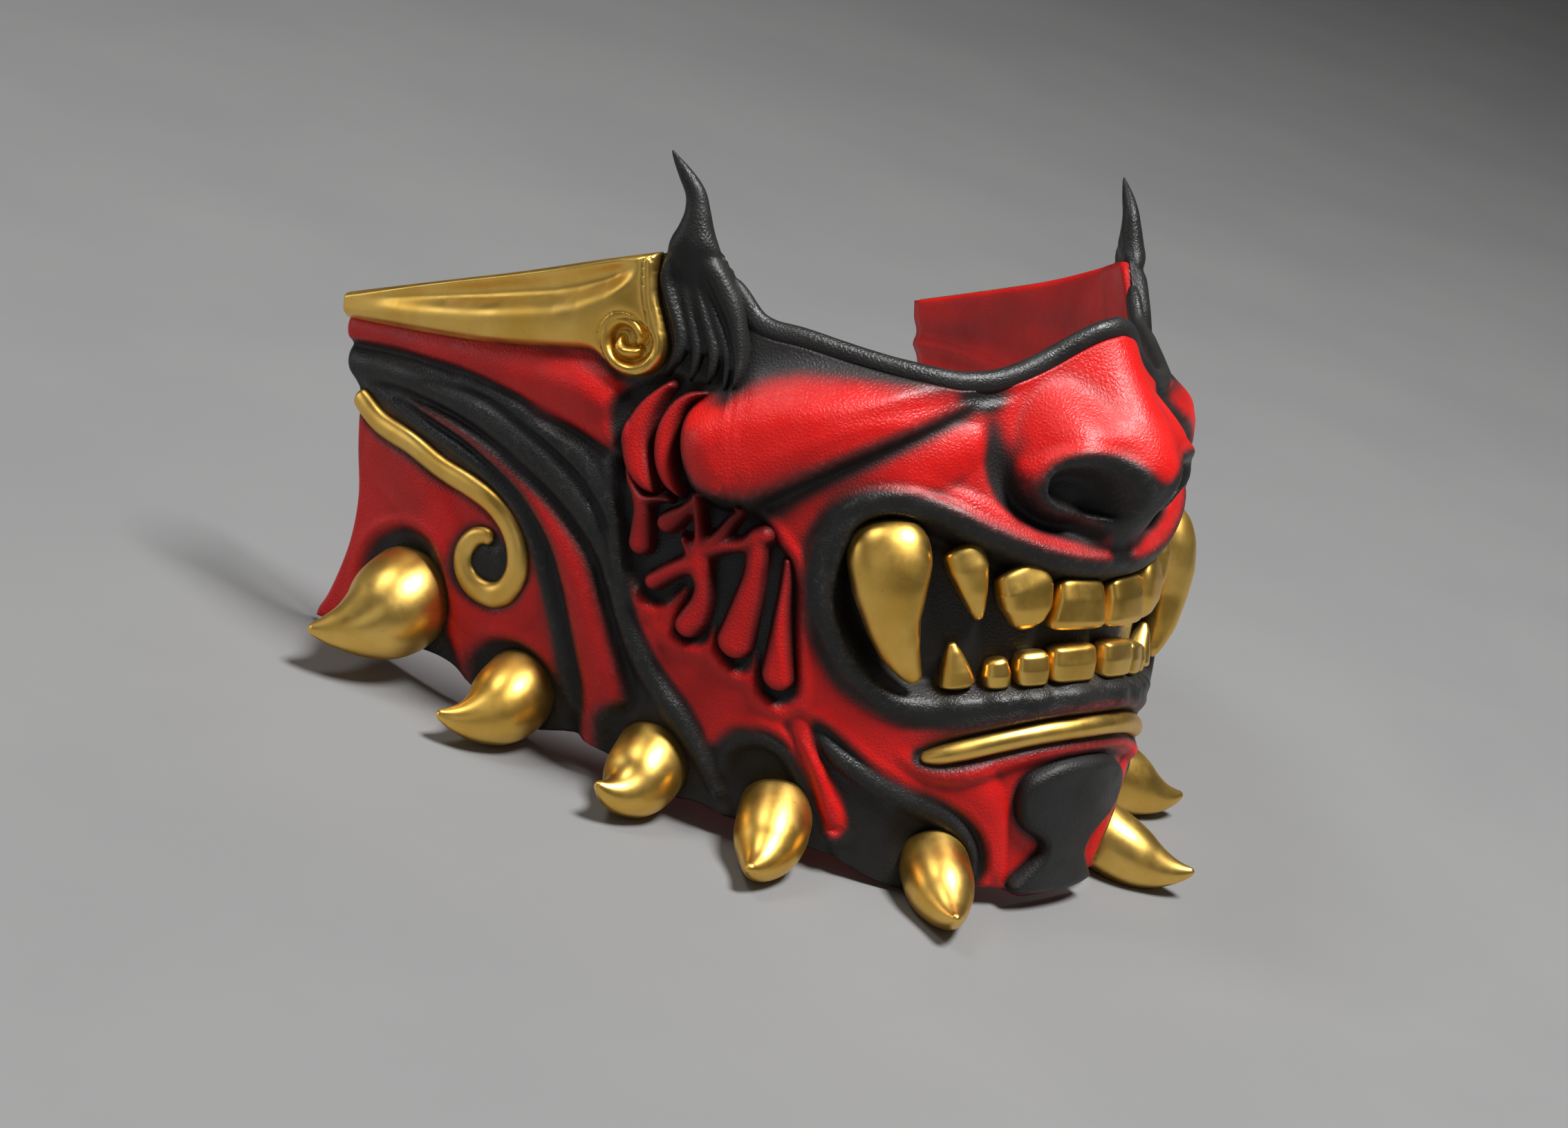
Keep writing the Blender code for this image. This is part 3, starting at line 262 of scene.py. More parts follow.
# Rolls and grooves: rise in mm, power of the section, then rows of round, up, half width, share
ROLLS = {
    "lip": (2.3, 1, [
        (0, 74.6, 3, 1), (10, 75, 3, 1), (20, 77.5, 3, 1), (30, 81.3, 3, 1), (38, 85, 3.2, 1),
        (46, 88.6, 3.2, 1), (54, 89, 3.2, 1), (60.5, 86.5, 3.4, 1), (65, 80, 3.4, 1),
        (67.3, 72, 3.4, 1), (67.3, 64, 3.4, 1), (63.5, 54, 3.4, 0.9), (57, 47, 3.2, 0.7),
        (50, 44.2, 3, 0.5), (40, 43.6, 3, 0.4), (30, 44.6, 3, 0.4), (10, 46, 3, 0.4),
        (0, 46.3, 3, 0.4),
    ]),
    "fang_ring": (2.0, 1, [
        (63.6, 72, 1, 0.4), (63, 78, 1.3, 1), (59.4, 84, 1.3, 1), (53, 86.4, 1.3, 1),
        (47, 85.4, 1.3, 1), (42.5, 82, 1.1, 0.4),
    ]),
    "fang_ring_inner": (1.5, 1, [
        (61.6, 74, 0.8, 0.3), (60.8, 79, 1, 1), (57, 83, 1, 1), (52, 84.4, 1, 0.8),
        (46, 83, 0.8, 0.3),
    ]),
    "smile_fold": (1.4, 1, [
        (50, 93.6, 2.4, 0), (44, 91, 3.2, 0.3), (36, 87.7, 3.6, 0.9), (30, 84.8, 3.6, 1),
        (25, 82.4, 3.4, 1), (20, 80.2, 3.2, 1), (15, 78.6, 3, 1), (10, 77.3, 2.6, 1),
        (5, 76.4, 2, 0.9),
    ]),
    "cheek_field": (1.8, 1, [
        (76, 82, 3, 0), (71, 86, 5, 0.4), (64, 91.6, 6.5, 0.9), (52, 95.5, 7.5, 1),
        (42, 98.5, 7, 0.9), (35, 100.5, 4.5, 0.6),
    ]),
    "alar_groove": (-2.0, 1, [
        (29.6, 106, 2.6, 0.1), (29.8, 100, 3.4, 0.45), (28.6, 94, 3.4, 0.9), (25.3, 88.8, 3, 1),
        (20, 85, 2.8, 1), (13, 82.8, 2.4, 0.9), (7, 81.2, 2, 0.6),
    ]),
    "nostril_rim": (1.3, 1, [
        (23.6, 89.6, 1.8, 0.3), (23.2, 93.6, 2, 0.8), (20.6, 97, 2, 1), (15.5, 98, 2, 1),
        (10, 97, 2, 1), (6.3, 94.4, 2, 1), (3.8, 90.4, 1.9, 0.8), (2.4, 86.4, 1.6, 0.3),
    ]),
    "temple_band": (1.8, 1, [
        (184, 124.5, 3, 0.6), (160, 120.4, 4, 0.8), (140, 116.8, 5, 1), (124, 113.2, 6.5, 1.2),
        (114.5, 109.5, 7.5, 1.3), (111, 104, 6, 1),
    ]),
    "temple_swell": (1.3, 1, [(122, 115, 5, 0.4), (115, 113.4, 6.5, 1), (110.6, 110, 4.5, 0.7)]),
    "band_groove": (-1.3, 1, [
        (186, 121.8, 1.2, 0.6), (170, 119.8, 1.4, 1), (160, 117.8, 1.4, 1), (150, 115.6, 1.5, 1),
        (141, 112.6, 1.5, 1), (133.4, 109.2, 1.6, 1), (128, 105.6, 1.7, 1), (120, 102.6, 1.8, 1),
        (113, 99.6, 1.9, 1), (108.4, 97, 1.8, 0.8),
    ]),
    "upper_sweep": (2.0, 1, [
        (184, 117, 3.4, 0.6), (170, 115, 3.6, 0.9), (160, 112.8, 3.8, 1), (150, 109.4, 4, 1),
        (142, 105.6, 4, 1), (135, 101.4, 4.1, 1), (128, 96.2, 4.2, 1), (122, 91, 4.2, 1),
        (117, 85, 4, 0.9), (114.4, 79, 3.2, 0.6), (113.2, 72, 2.4, 0.3),
    ]),
    "second_sweep": (1.7, 1, [
        (150, 114, 1.6, 0.3), (140, 110.4, 2.2, 0.7), (131.6, 106, 2.8, 1), (124.6, 101.4, 3.2, 1),
        (118, 96, 3.4, 1), (113.6, 90, 3.2, 0.9), (110.8, 83, 2.8, 0.7), (109.8, 76, 2.4, 0.4),
    ]),
    "sweep_groove": (-1.2, 1, [
        (158, 113, 1.1, 0.3), (147, 110.8, 1.2, 1), (138, 107.4, 1.3, 1), (130, 102.4, 1.3, 1),
        (124, 98, 1.3, 1), (118, 92.6, 1.3, 1), (113.8, 86, 1.3, 1), (111.6, 79, 1.2, 0.8),
        (111.4, 73, 1, 0.3),
    ]),
    "stripe_upper_groove": (-1.2, 1, [
        (174, 112.8, 1, 0.3), (162, 109.2, 1.2, 1), (150, 105, 1.2, 1), (140, 99.6, 1.2, 1),
        (132, 93.8, 1.2, 1), (125.4, 88.8, 1.2, 1), (120.4, 83, 1.2, 1), (116.6, 76.4, 1.2, 0.8),
        (114.4, 67, 1.2, 0.7), (113.2, 56, 1.2, 0.7), (112.8, 47.4, 1.2, 0.8),
        (114.6, 44.2, 1.2, 0.8), (119.2, 42.6, 1.2, 0.8), (121.6, 39.6, 1.2, 0.8),
    ]),
    "stripe_lower_groove": (-1.2, 1, [
        (168, 108.8, 1, 0.4), (158, 104.6, 1.2, 1), (148, 99.8, 1.2, 1), (140, 94.5, 1.3, 1),
        (133.3, 88.8, 1.3, 1), (128.5, 82, 1.3, 1), (126.1, 75, 1.3, 1), (125, 64, 1.3, 1),
        (125.2, 51, 1.3, 1), (127.2, 42, 1.3, 0.9), (129, 36, 1.2, 0.6),
    ]),
    "stripe_round": (1.8, 1, [
        (160, 107.4, 2, 0.4), (140, 97.3, 3, 0.6), (128, 86.2, 4.2, 0.8), (121.4, 75, 5.3, 0.9),
        (119.2, 60, 5.8, 0.9), (119.4, 48, 5.2, 0.8), (125.4, 38, 2.8, 0.5),
    ]),
    "side_ridge": (1.0, 1, [
        (178, 112.6, 1.4, 0.4), (160, 103.4, 1.6, 1), (148, 97.4, 1.7, 1), (140, 92.2, 1.8, 1),
        (134.4, 86, 1.8, 1), (130.4, 78, 1.7, 1), (128, 66, 1.6, 0.9), (127.8, 54, 1.5, 0.6),
    ]),
    "middle_ridge": (2.2, 1, [
        (111.8, 80, 2.6, 0.3), (110.8, 70, 3.6, 0.9), (109.4, 60, 4, 1), (106.4, 50, 4.2, 1),
        (102.8, 42, 4.2, 1), (100.4, 34, 3.4, 0.8), (99.8, 27, 2.4, 0.4),
    ]),
    "middle_crease": (-1.4, 1, [
        (108.4, 72, 1, 0.4), (108.6, 64.3, 1.3, 1), (106.6, 57, 1.3, 1), (103.9, 50, 1.4, 1),
        (101, 44.3, 1.4, 1), (98.9, 36, 1.4, 1), (98.4, 28, 1.2, 0.5),
    ]),
    "red_tip_left": (0.8, 1, [(107, 69, 1.3, 0.8), (104.8, 64, 1.8, 1), (104, 60, 2, 0.6)]),
    "front_arch_ridge": (1.7, 1, [
        (97.4, 31, 1.4, 0.3), (95.6, 35, 2, 0.8), (91.6, 37.6, 2.3, 1), (87.6, 38.2, 2.4, 1),
        (83.6, 36.6, 2.4, 1), (81.2, 32.8, 2.2, 0.9), (80.2, 26, 1.9, 0.5), (80, 19, 1.5, 0.2),
    ]),
    "chin_fold": (2.0, 1, [
        (72.6, 38, 1.8, 0.5), (69, 33.6, 2.8, 0.9), (62, 28.4, 3.4, 1), (54, 24.2, 3.6, 1),
        (47, 20.8, 3.4, 1), (41.4, 17, 3, 0.9), (38.4, 12.6, 2.4, 0.7), (38.6, 8.6, 2, 0.4),
    ]),
    "red_drop": (1.7, 0.8, [
        (77, 41, 2.6, 0.3), (76.3, 37, 2.1, 0.9), (75.5, 32, 2, 1), (75, 27.4, 2.2, 1),
        (74.8, 23.6, 2.8, 1), (74.8, 21.4, 2.5, 0.9),
    ]),
    "drop_catch": (0.9, 1, [(77.6, 17.4, 1.6, 0.8), (74, 16.6, 1.8, 1), (72, 18, 1.5, 0.7)]),
    "lip_over_bar": (1.2, 1, [
        (52, 39.6, 2, 0.2), (40, 40.8, 2.2, 0.8), (30, 42, 2.1, 1), (20, 43.2, 2, 1),
        (10, 43.9, 2, 1), (0, 44, 2, 1),
    ]),
    "lip_under_bar": (1.6, 1, [
        (54, 34, 2.4, 0.3), (48, 31.4, 2.6, 0.9), (40, 31.2, 2.8, 1), (30, 33, 2.6, 1),
        (20, 34.7, 2.3, 1), (10, 35.5, 2.1, 1), (0, 35.8, 2.1, 1),
    ]),
    "chin_swell": (1.2, 1, [(46, 29, 4, 0.3), (36, 26.5, 7, 1), (31, 18, 5.5, 1), (29, 9, 4, 0.7)]),
    "panel_swell": (1.2, 1, [
        (172, 97, 7, 0.5), (160, 88, 8, 1), (146, 62, 6, 0.8), (136, 66, 5, 0.5),
    ]),
    "brow_corner": (-0.8, 1, [
        (38, 109.6, 1.4, 0.3), (32, 110.4, 2, 1), (27.5, 110.8, 2, 0.7), (24.5, 111.4, 1.4, 0.2),
    ]),
}
# rolls broad enough to lift the pieces that sit on them
BROAD_ROLLS = ("lip", "temple_band", "upper_sweep", "stripe_round", "middle_ridge", "chin_fold")
# Hollows round the spike seats: round, up, half width
SOCKETS = [(52, 13, 13), (88, 29, 10.5), (113, 34, 10.5), (141, 47, 10.5), (165, 67, 12.5)]
SOCKET_DEPTH = 1.9
# Swellings of the gum under the lower teeth: round, up, half width
GUMS = [(9, 49, 6.6), (21, 48.5, 5.2), (30, 48.3, 4.4), (40, 48.2, 5.4)]
GUM_RISE = 1.2
NOSTRIL_SLOPE = 2.6
MOUTH_SLOPE = 4

# Painted shade in the wall's hollows, which also stands for the dark airbrushed paint there, fine,
# middling and broad: times that the relief is smoothed to find them, depth in metres where the dark
# begins and over which it grows, its strength, and how much less it is on the nose bridge
HOLLOWS = [(6, 0, 0.0005, 0.85, 0), (30, 0.00005, 0.001, 0.75, 0.5), (90, 0, 0.0017, 0.72, 0.72)]
BRIDGE_ROUND = (34, 26)
BRIDGE_UP = (98, 104)
# crests with a painted highlight: times the relief is smoothed to find them, their rise in metres
CREST_SMOOTHED = 8
CREST_RISE = 0.0004
# Bands of painted shade for the folds inside the wall: pitch in steps, strength, and the painted
# shade of a step by the horns
BAND_PITCH = 4.6
FOLD_SHADE = 0.35
INNER_STEP = {"round": 96, "up": 120, "slant": 0.1, "width": 2.2, "from": 100}

# Puffed runs on the wall: round, up, half width in steps
CRESCENT_REAR = [
    (96.4, 112.7, 0.8), (98.6, 111, 1.3), (101.6, 107.8, 2.1), (103.9, 103.6, 2.8),
    (104.5, 99.6, 3), (103.8, 95.6, 2.8), (102.4, 92.6, 1.8), (101, 90.8, 0.6),
]
CRESCENT_FRONT = [
    (89, 111, 0.3), (92, 110.4, 0.9), (94.8, 108.4, 1.5), (96.9, 105, 2), (98, 101, 2.2),
    (98.1, 96.6, 2.1), (97, 92.8, 1.6), (95.2, 90.2, 0.6),
]
TAIL_DRIP = [
    [
        (106.2, 97, 0.6), (105.6, 93, 1.1), (104.3, 89.8, 1.3), (103.6, 87, 1.8), (104, 83.5, 2.2),
        (104.6, 80.2, 2.5), (104.7, 79.8, 2.5),
    ],
    [(103.4, 88.6, 1.2), (101, 89, 0.7), (98.6, 89, 0.5), (97.3, 88.8, 0.45)],
]
DRIP_WEB = [
    [
        (91.2, 89.6, 1), (91.1, 86, 1.1), (91.2, 81, 1.3), (91.8, 77, 2.3), (92, 74, 2.1),
        (92, 71, 1.7), (93, 67.5, 2.1), (95, 64.4, 2.7), (96.8, 62.6, 2.6),
    ],
    [(91.6, 88.4, 0.9), (94.4, 86.4, 1.4), (97, 84.8, 2), (98.3, 84.1, 2.1)],
    [(93.6, 78, 0.9), (94.3, 79.8, 0.9), (94.7, 80.8, 0.75)],
    [(92.5, 76, 1.9), (96.5, 74.8, 1.7), (100, 73.2, 1.7), (102.8, 71.8, 1.8)],
    [(82, 86.8, 0.9), (84.4, 84.4, 1.15), (86.6, 82, 1.3), (88.6, 80, 1.5)],
    [(90.6, 78.6, 1.5), (86.5, 79.4, 1.4), (83, 79.6, 1.2), (80.2, 80.6, 1.5), (77.2, 82, 1.8)],
    [
        (79.2, 81, 1.7), (79.8, 77.2, 2.1), (80.8, 73.4, 2.1), (82.5, 69, 2.6), (84.8, 64, 3.1),
        (87.1, 59.4, 3.6),
    ],
    [
        (73.6, 76.2, 0.6), (74.3, 72, 1), (75.5, 67, 1.4), (77.2, 60, 2.2), (78.6, 54.6, 3),
        (79.2, 52.4, 3.3),
    ],
]
PUFF_RISE = 0.0026
# widths of the steep and of the gentle part of their sections, in steps, and the steep one's share
PUFF_EDGE = (1.3, 3.0)
PUFF_STEEP = 0.6
# stations between which the runs sink into the cheek
PUFF_FADE = (73.4, 78)
PUFF_SUNK = 0.3
# heights between which painted shade darkens the runs' colour: by the horns, and on the drips
GILL_SHADE = (140, 150)
DRIP_SHADE = (74, 86)
# Bars that follow the wall: round, up, share of the half width
SIDE_SCROLL = [
    (181.4, 110.4, 0.7), (179.3, 108.6, 1), (173.3, 103.8, 1.05), (163.3, 99.2, 1.05),
    (155, 94.4, 1), (146.7, 90.6, 1), (140.8, 87, 1), (136.9, 82.6, 1), (135.2, 77.6, 1.05),
    (135.8, 72.3, 1.1), (138.6, 68.3, 1.15), (142.4, 67, 1.15), (146.6, 68.7, 1.1),
    (149, 72.3, 1.05), (148.8, 76.5, 0.95), (146.2, 79.4, 0.85), (143.4, 80, 0.75),
    (141.2, 79, 0.7),
]
CHIN_BAR = [
    (0, 39.6, 1), (10, 39.4, 1), (20, 38.7, 1), (30, 37.4, 1), (40, 35.7, 0.97), (46, 34.7, 0.82),
    (50.5, 34.2, 0.4),
]
VOLUTE = [
    (98.3, 138.4, 0.7), (98.4, 135, 1.2), (98.6, 131, 1.4), (98.2, 127, 1.5), (98, 123, 1.6),
    (98.9, 119.2, 1.6), (101.4, 116.6, 1.6), (104.8, 115.9, 1.6), (108.2, 117.6, 1.6),
    (109.9, 121, 1.6), (109.2, 124.6, 1.6), (106.4, 126.4, 1.6), (103.3, 125.6, 1.6),
    (101.9, 123.2, 1.4), (102.4, 121.9, 1.1),
]
VOLUTE_EYE = [
    (106.4, 122.8, 0.6), (106.9, 121, 1.3), (105.8, 119.7, 1.6), (103.8, 119.5, 1.4),
    (102.5, 120, 0.7),
]
VOLUTE_RISE = 0.0034
# sunk disc under the volute: its middle, radius and edge in steps, and how much of the rise it takes
VOLUTE_DISC = {"round": 104.6, "up": 121, "radius": 6.2, "edge": 1.2, "sunk": 0.6}
# the crest of the plate's band and the plate's lower edge, round and up
PLATE_RIDGE = [
    (97, 136), (103, 133), (109, 129.6), (116, 127.2), (122, 126.4), (142, 126.6), (164, 127.8),
    (185, 129.4),
]
PLATE_FOOT = [
    (97, 114), (113.6, 119.6), (117, 120.4), (126, 120.7), (142, 121.6), (164, 124.2), (185, 127),
]
PLATE_OUTLINE = [
    (184.2, 134.6), (184.6, 130.6), (184.5, 127.9), (183.6, 127), (164, 124.2), (142, 121.6),
    (126, 120.7), (117, 120.4), (113.6, 119.6), (110.6, 117.2), (107.4, 114.9), (103.4, 114.2),
    (99.6, 115.4), (97, 118.4), (96.2, 122), (96.8, 126), (97.4, 130), (97, 135), (97.4, 142),
    (110, 141), (130, 139), (150, 137.5), (170, 136), (182, 135),
]
CHIN_PATCH = [
    (-12, 33.3), (0, 33.3), (10, 32.8), (18, 31), (22, 29.4), (24.2, 26.6), (24.5, 23.5),
    (23.8, 20.6), (21, 18), (17, 16.3), (13, 14.6), (11.8, 13), (13.6, 11.2), (20, 8), (24, 6.2),
    (25.2, 4.8), (22, 3.4), (13, 2.6), (0, 2.5), (-12, 2.5),
]
HORN = [
    (88.6, -0.5, 0.2), (88.9, -0.3, 0.5), (89.2, -0.12, 0.82), (89.3, 0, 0.86), (89.1, 0.1, 0.76),
    (88.8, 0.2, 0.6), (88.5, 0.36, 0.43), (88.9, 0.54, 0.34), (90.9, 0.73, 0.25),
    (92.6, 0.87, 0.15), (93.7, 0.97, 0.07), (94.1, 1, 0.03),
]
# the horn's length in steps, and its depth as a share of its width, from its foot up
HORN_STEPS = 22
HORN_DEPTH = [(-0.1, 0.5), (0.1, 0.72), (0.35, 0.92)]
# the horn's root: low leaf, then ridges and fingers as a rise in mm and a path with its half widths
ROOT_LEAF = [
    (94.6, 139.6), (96.4, 137.6), (97, 134), (96.6, 129), (95.8, 125), (95, 121), (92, 119.6),
    (88, 119), (84, 118.6), (81.4, 119), (80.6, 123), (80.2, 126.4), (81, 131), (83.4, 136),
    (85.4, 139.6),
]
ROOT_RIDGES = [
    (2.6, [
        (91.6, 142.2, 0.8), (93.8, 139.4, 1.4), (95.6, 135, 1.5), (95.3, 131, 1.5),
        (94.4, 126.5, 1.6), (93.9, 122.5, 1.6), (94.7, 119, 1.2), (96.4, 116.6, 0.8),
        (98, 114.8, 0.25),
    ]),
    (3.0, [
        (87.8, 144, 0.9), (87.2, 141, 1.9), (86.2, 137.6, 2.4), (84.6, 133.4, 2.6),
        (83, 128.6, 2.5), (82.2, 124, 2), (81.9, 119, 1.7), (82.3, 115, 1.1), (83.2, 112, 0.35),
    ]),
    (2.0, [
        (92, 135, 0.5), (91.9, 129, 1), (91.1, 123.5, 1.3), (90.8, 119.5, 1.2), (91.6, 116, 0.8),
        (92.6, 113.8, 0.25),
    ]),
    (2.3, [
        (89.6, 134, 0.6), (88.8, 128, 1.2), (87.7, 122.5, 1.4), (87.2, 119, 1.3),
        (87.9, 115.6, 0.9), (88.8, 113.2, 0.25),
    ]),
    (2.3, [
        (88, 134, 0.5), (86.6, 127.5, 1), (85.2, 122, 1.1), (84.5, 117.5, 1), (84.9, 114, 0.7),
        (85.4, 111.6, 0.25),
    ]),
]
LEAF_RISE = 0.0011
# heights between which the ridges grow out of the horn, and the share of their rise at its foot
ROOT_GROWTH = (143, 136)
ROOT_LEAST = 0.25

# Spikes: round, up, tip round, tip up, tip out, thickness, sag
SPIKES = {
    "chin": (50.8, 11.3, 0.02, -0.17, 1.01, 1.06, 0.36),
    "jaw_front": (88.0, 22.8, 0.08, -0.16, 0.99, 1.12, 0.38),
    "jaw_middle": (113.3, 33.6, 0.17, 0.02, 0.85, 1.18, 0.36),
    "jaw_rear": (140.0, 47.2, 0.38, -0.04, 0.88, 1.23, 0.31),
    "jaw_corner": (164.2, 67.0, 0.46, -0.26, 1.0, 1.57, 0.38),
}
# share of the spike's length, share of its half width
SPIKE_PROFILE = [
    (-0.05, 0.95), (0, 1), (0.14, 1.03), (0.28, 1), (0.42, 0.89), (0.55, 0.71), (0.68, 0.53),
    (0.78, 0.39), (0.87, 0.27), (0.94, 0.17), (0.985, 0.11), (1.0, 0.09),
]
# the small round tip: share of the length where it begins, and its length
SPIKE_TIP = (0.965, 0.0352)
SPIKE_BELLY = 0.62
SPIKE_SUNK = 0.0012
# Fang and teeth: round, up, half width and half depth as shares, place outwards as a share of
# TOOTH_DEPTH
FANG = [
    (52.6, 85.4, 0.2, 0.16, -1), (52.6, 84, 0.84, 0.5, -0.8), (52.4, 80, 1.12, 0.76, -0.4),
    (52.5, 76, 1.16, 0.82, -0.1), (53, 70.5, 1.02, 0.8, 0.1), (53.2, 64, 0.78, 0.66, 0.2),
    (52.4, 58, 0.58, 0.5, 0.2), (50.8, 53.6, 0.37, 0.33, 0), (49.2, 50.9, 0.18, 0.17, -0.1),
    (48.6, 50, 0.05, 0.05, -0.1),
]
TEETH = {
    "upper_tooth_centre": [
        (7.9, 71.4, 0.5, 0.2, -1), (8, 70.6, 0.82, 0.42, -0.9), (8.4, 67, 0.88, 0.48, -0.8),
        (8.9, 62.5, 0.97, 0.44, -0.8), (9, 60.7, 0.92, 0.2, -0.9),
    ],
    "upper_tooth_side": [
        (24.4, 75, 0.5, 0.2, -1), (24, 74, 0.72, 0.4, -0.9), (22.9, 70, 0.84, 0.5, -0.8),
        (22.7, 66, 0.74, 0.48, -0.8), (22.8, 62.6, 0.46, 0.36, -0.9),
        (22.7, 60.8, 0.15, 0.12, -0.9),
    ],
    "upper_tooth_outer": [
        (36.8, 79.6, 0.4, 0.16, -1), (36.4, 78.4, 0.6, 0.38, -0.9), (35.6, 74.4, 0.6, 0.46, -0.8),
        (34.9, 69.5, 0.43, 0.4, -0.8), (34.2, 65.4, 0.24, 0.26, -0.9),
        (33.8, 62.9, 0.08, 0.08, -0.9),
    ],
    "lower_tooth_centre": [
        (9, 57.6, 0.55, 0.16, -1), (9, 56.6, 0.76, 0.36, -1), (9, 53.5, 0.8, 0.46, -1),
        (9, 50, 0.76, 0.44, -1), (9, 48.8, 0.5, 0.2, -1),
    ],
    "lower_tooth_side": [
        (20.9, 56.4, 0.34, 0.16, -1), (20.9, 55.2, 0.48, 0.34, -1), (21, 52.5, 0.52, 0.42, -1),
        (21, 49.4, 0.48, 0.42, -1), (21, 48.4, 0.2, 0.2, -1),
    ],
    "lower_tooth_outer": [
        (30.2, 55, 0.2, 0.16, -1), (30.1, 54, 0.34, 0.3, -1), (30, 51.5, 0.42, 0.4, -1),
        (30, 49, 0.4, 0.38, -1), (30, 48, 0.2, 0.2, -1),
    ],
    "lower_tooth_canine": [
        (40.4, 58.6, 0.08, 0.08, -0.9), (40.3, 56.4, 0.24, 0.24, -0.9), (40, 52.6, 0.44, 0.4, -1),
        (39.8, 49.4, 0.55, 0.46, -1), (39.8, 48.2, 0.2, 0.2, -1),
    ],
}
SIDES = {"left": 1, "right": -1}

# Bars swept along the wall: half width and rise in metres, share of the rise that is sunk, seed
LIP_BAR = (0.0026, 0.0019, 0.3, 5.0)
HOOKED_BAR = (0.0017, 0.0021, 0.2, 7.0)
BAR_PITCH = 0.35
BAR_UNEVEN = 0.06
# Rim bead: half width and half depth in metres, steps below the edge and steps of its round ends
RIM_HALF = (0.0019, 0.0025)
RIM_BELOW = 1.75
RIM_ROUND = 2.4
RIM_UNEVEN = 0.12
RIM_SEED = 3.0
# how fine the hand-made unevenness is
UNEVEN_SCALE = 110.0

# Colours, the darker and the lighter
RED = ((0.56, 0.006, 0.005), (0.74, 0.010, 0.008))
BLACK = ((0.013, 0.0125, 0.012), (0.021, 0.0205, 0.02))
GOLD = ((0.82, 0.49, 0.095), (0.96, 0.63, 0.165))
PAPER = ((0.225, 0.225, 0.225), (0.24, 0.24, 0.239))
# painted highlight on the crests of the black and the red
CREST_HIGHLIGHT = ((0.075, 0.073, 0.07), (0.75, 0.05, 0.045))
SHADE_AND_AIRBRUSH_DARK = (0.009, 0.006, 0.006)
GOLD_SEAT_SHADE = (0.09, 0.045, 0.014)
GOLD_SPECK = (0.33, 0.2, 0.06)

# Lights: direction from the worn mask, distance and width in metres, power in watts
LIGHTS = {
    "key": ((0.05, -0.66, 0.75), 1.3, 0.45, 27),
    "top": ((-0.4, 0.05, 0.91), 1.3, 0.4, 3.6),
    "side": ((-0.9, -0.42, 0.15), 1.4, 0.7, 0.55),
    "back": ((-0.72, 0.6, 0.36), 1.4, 0.7, 2.0),
}
LIGHT_AIM = (0, -0.01, 0.07)
SKY = (0.86, 0.84, 0.82, 1)
SKY_STRENGTH = 0.09
FLOOR_HALF = 5.0
# Camera by the worn mask: place in metres, turn and downward tilt in degrees, lens and sensor in mm
CAMERA_PLACE = (-0.5068, -0.4660, 0.1220)
CAMERA_TURN = 45.0
CAMERA_TILT = 4.19
LENS = 70.06
SENSOR = 36.0


# ---------------------------------------------------------------- reading the charts
def weights(knots, places):
    """How much each knot counts in a smooth curve through all knots, read at each place."""
    count = len(knots)
    gap = np.diff(knots)
    system = np.eye(count)
    right = np.zeros((count, count))
    for i in range(1, count - 1):
        before, after = gap[i - 1], gap[i]
        system[i, i - 1:i + 2] = before, 2 * (before + after), after
        right[i, i - 1:i + 2] = 6 / before, -6 / before - 6 / after, 6 / after
    bend = np.linalg.solve(system, right)
    low = np.clip(np.searchsorted(knots, places, side="right") - 1, 0, count - 2)
    near = ((knots[low + 1] - places) / gap[low])[:, None]
    far = 1 - near
    unit = np.eye(count)
    curve = (near ** 3 - near) * bend[low] + (far ** 3 - far) * bend[low + 1]
    return near * unit[low] + far * unit[low + 1] + curve * (gap[low] ** 2 / 6)[:, None]


def flowing(rows, closed=False, steps=4):
    """A table with more rows between its own, along a smooth curve through them."""
    rows = np.array(rows, float)
    if closed:
        before, after, last = np.roll(rows, 1, 0), np.roll(rows, -1, 0), np.roll(rows, -2, 0)
    else:
        padded = np.vstack([2 * rows[0] - rows[1], rows, 2 * rows[-1] - rows[-2]])
        before, rows, after, last = padded[:-3], padded[1:-2], padded[2:-1], padded[3:]
    between = []
    for t in np.arange(steps) / steps:
        bend = (2 * before - 5 * rows + 4 * after - last) * t ** 2
        twist = (3 * rows - before - 3 * after + last) * t ** 3
        between.append(0.5 * (2 * rows + (after - before) * t + bend + twist))
    result = np.stack(between, 1).reshape(-1, rows.shape[1])
    return result if closed else np.vstack([result, after[-1:]])


def smooth_least(gaps):
    """The least of several distances, its corners rounded."""
    soft = 0.6
    return -soft * np.log(sum(np.exp(-gap / soft) for gap in gaps))


def eased(share):
    """Smooth rise from 0 to 1."""
    share = np.clip(share, 0, 1)
    return share * share * (3 - 2 * share)


def ramp(places, start, end):
    """Smooth rise from 0 at the start to 1 at the end."""
    return eased((places - start) / (end - start))


def table(rows, places):
    """Reads a table of place and value along a smooth curve through its rows."""
    rows = flowing(rows)
    return np.interp(places, rows[:, 0], rows[:, 1])


def straight(rows, places):
    """Reads a table of place and value in straight lines between its rows."""
    return np.interp(places, *np.array(rows, float).T)


def dome(gap, width):
    """Rounded section: 0 on the outline, 1 from the width inwards."""
    return np.sqrt(1 - (1 - np.clip(-gap / width, 0, 1)) ** 2)


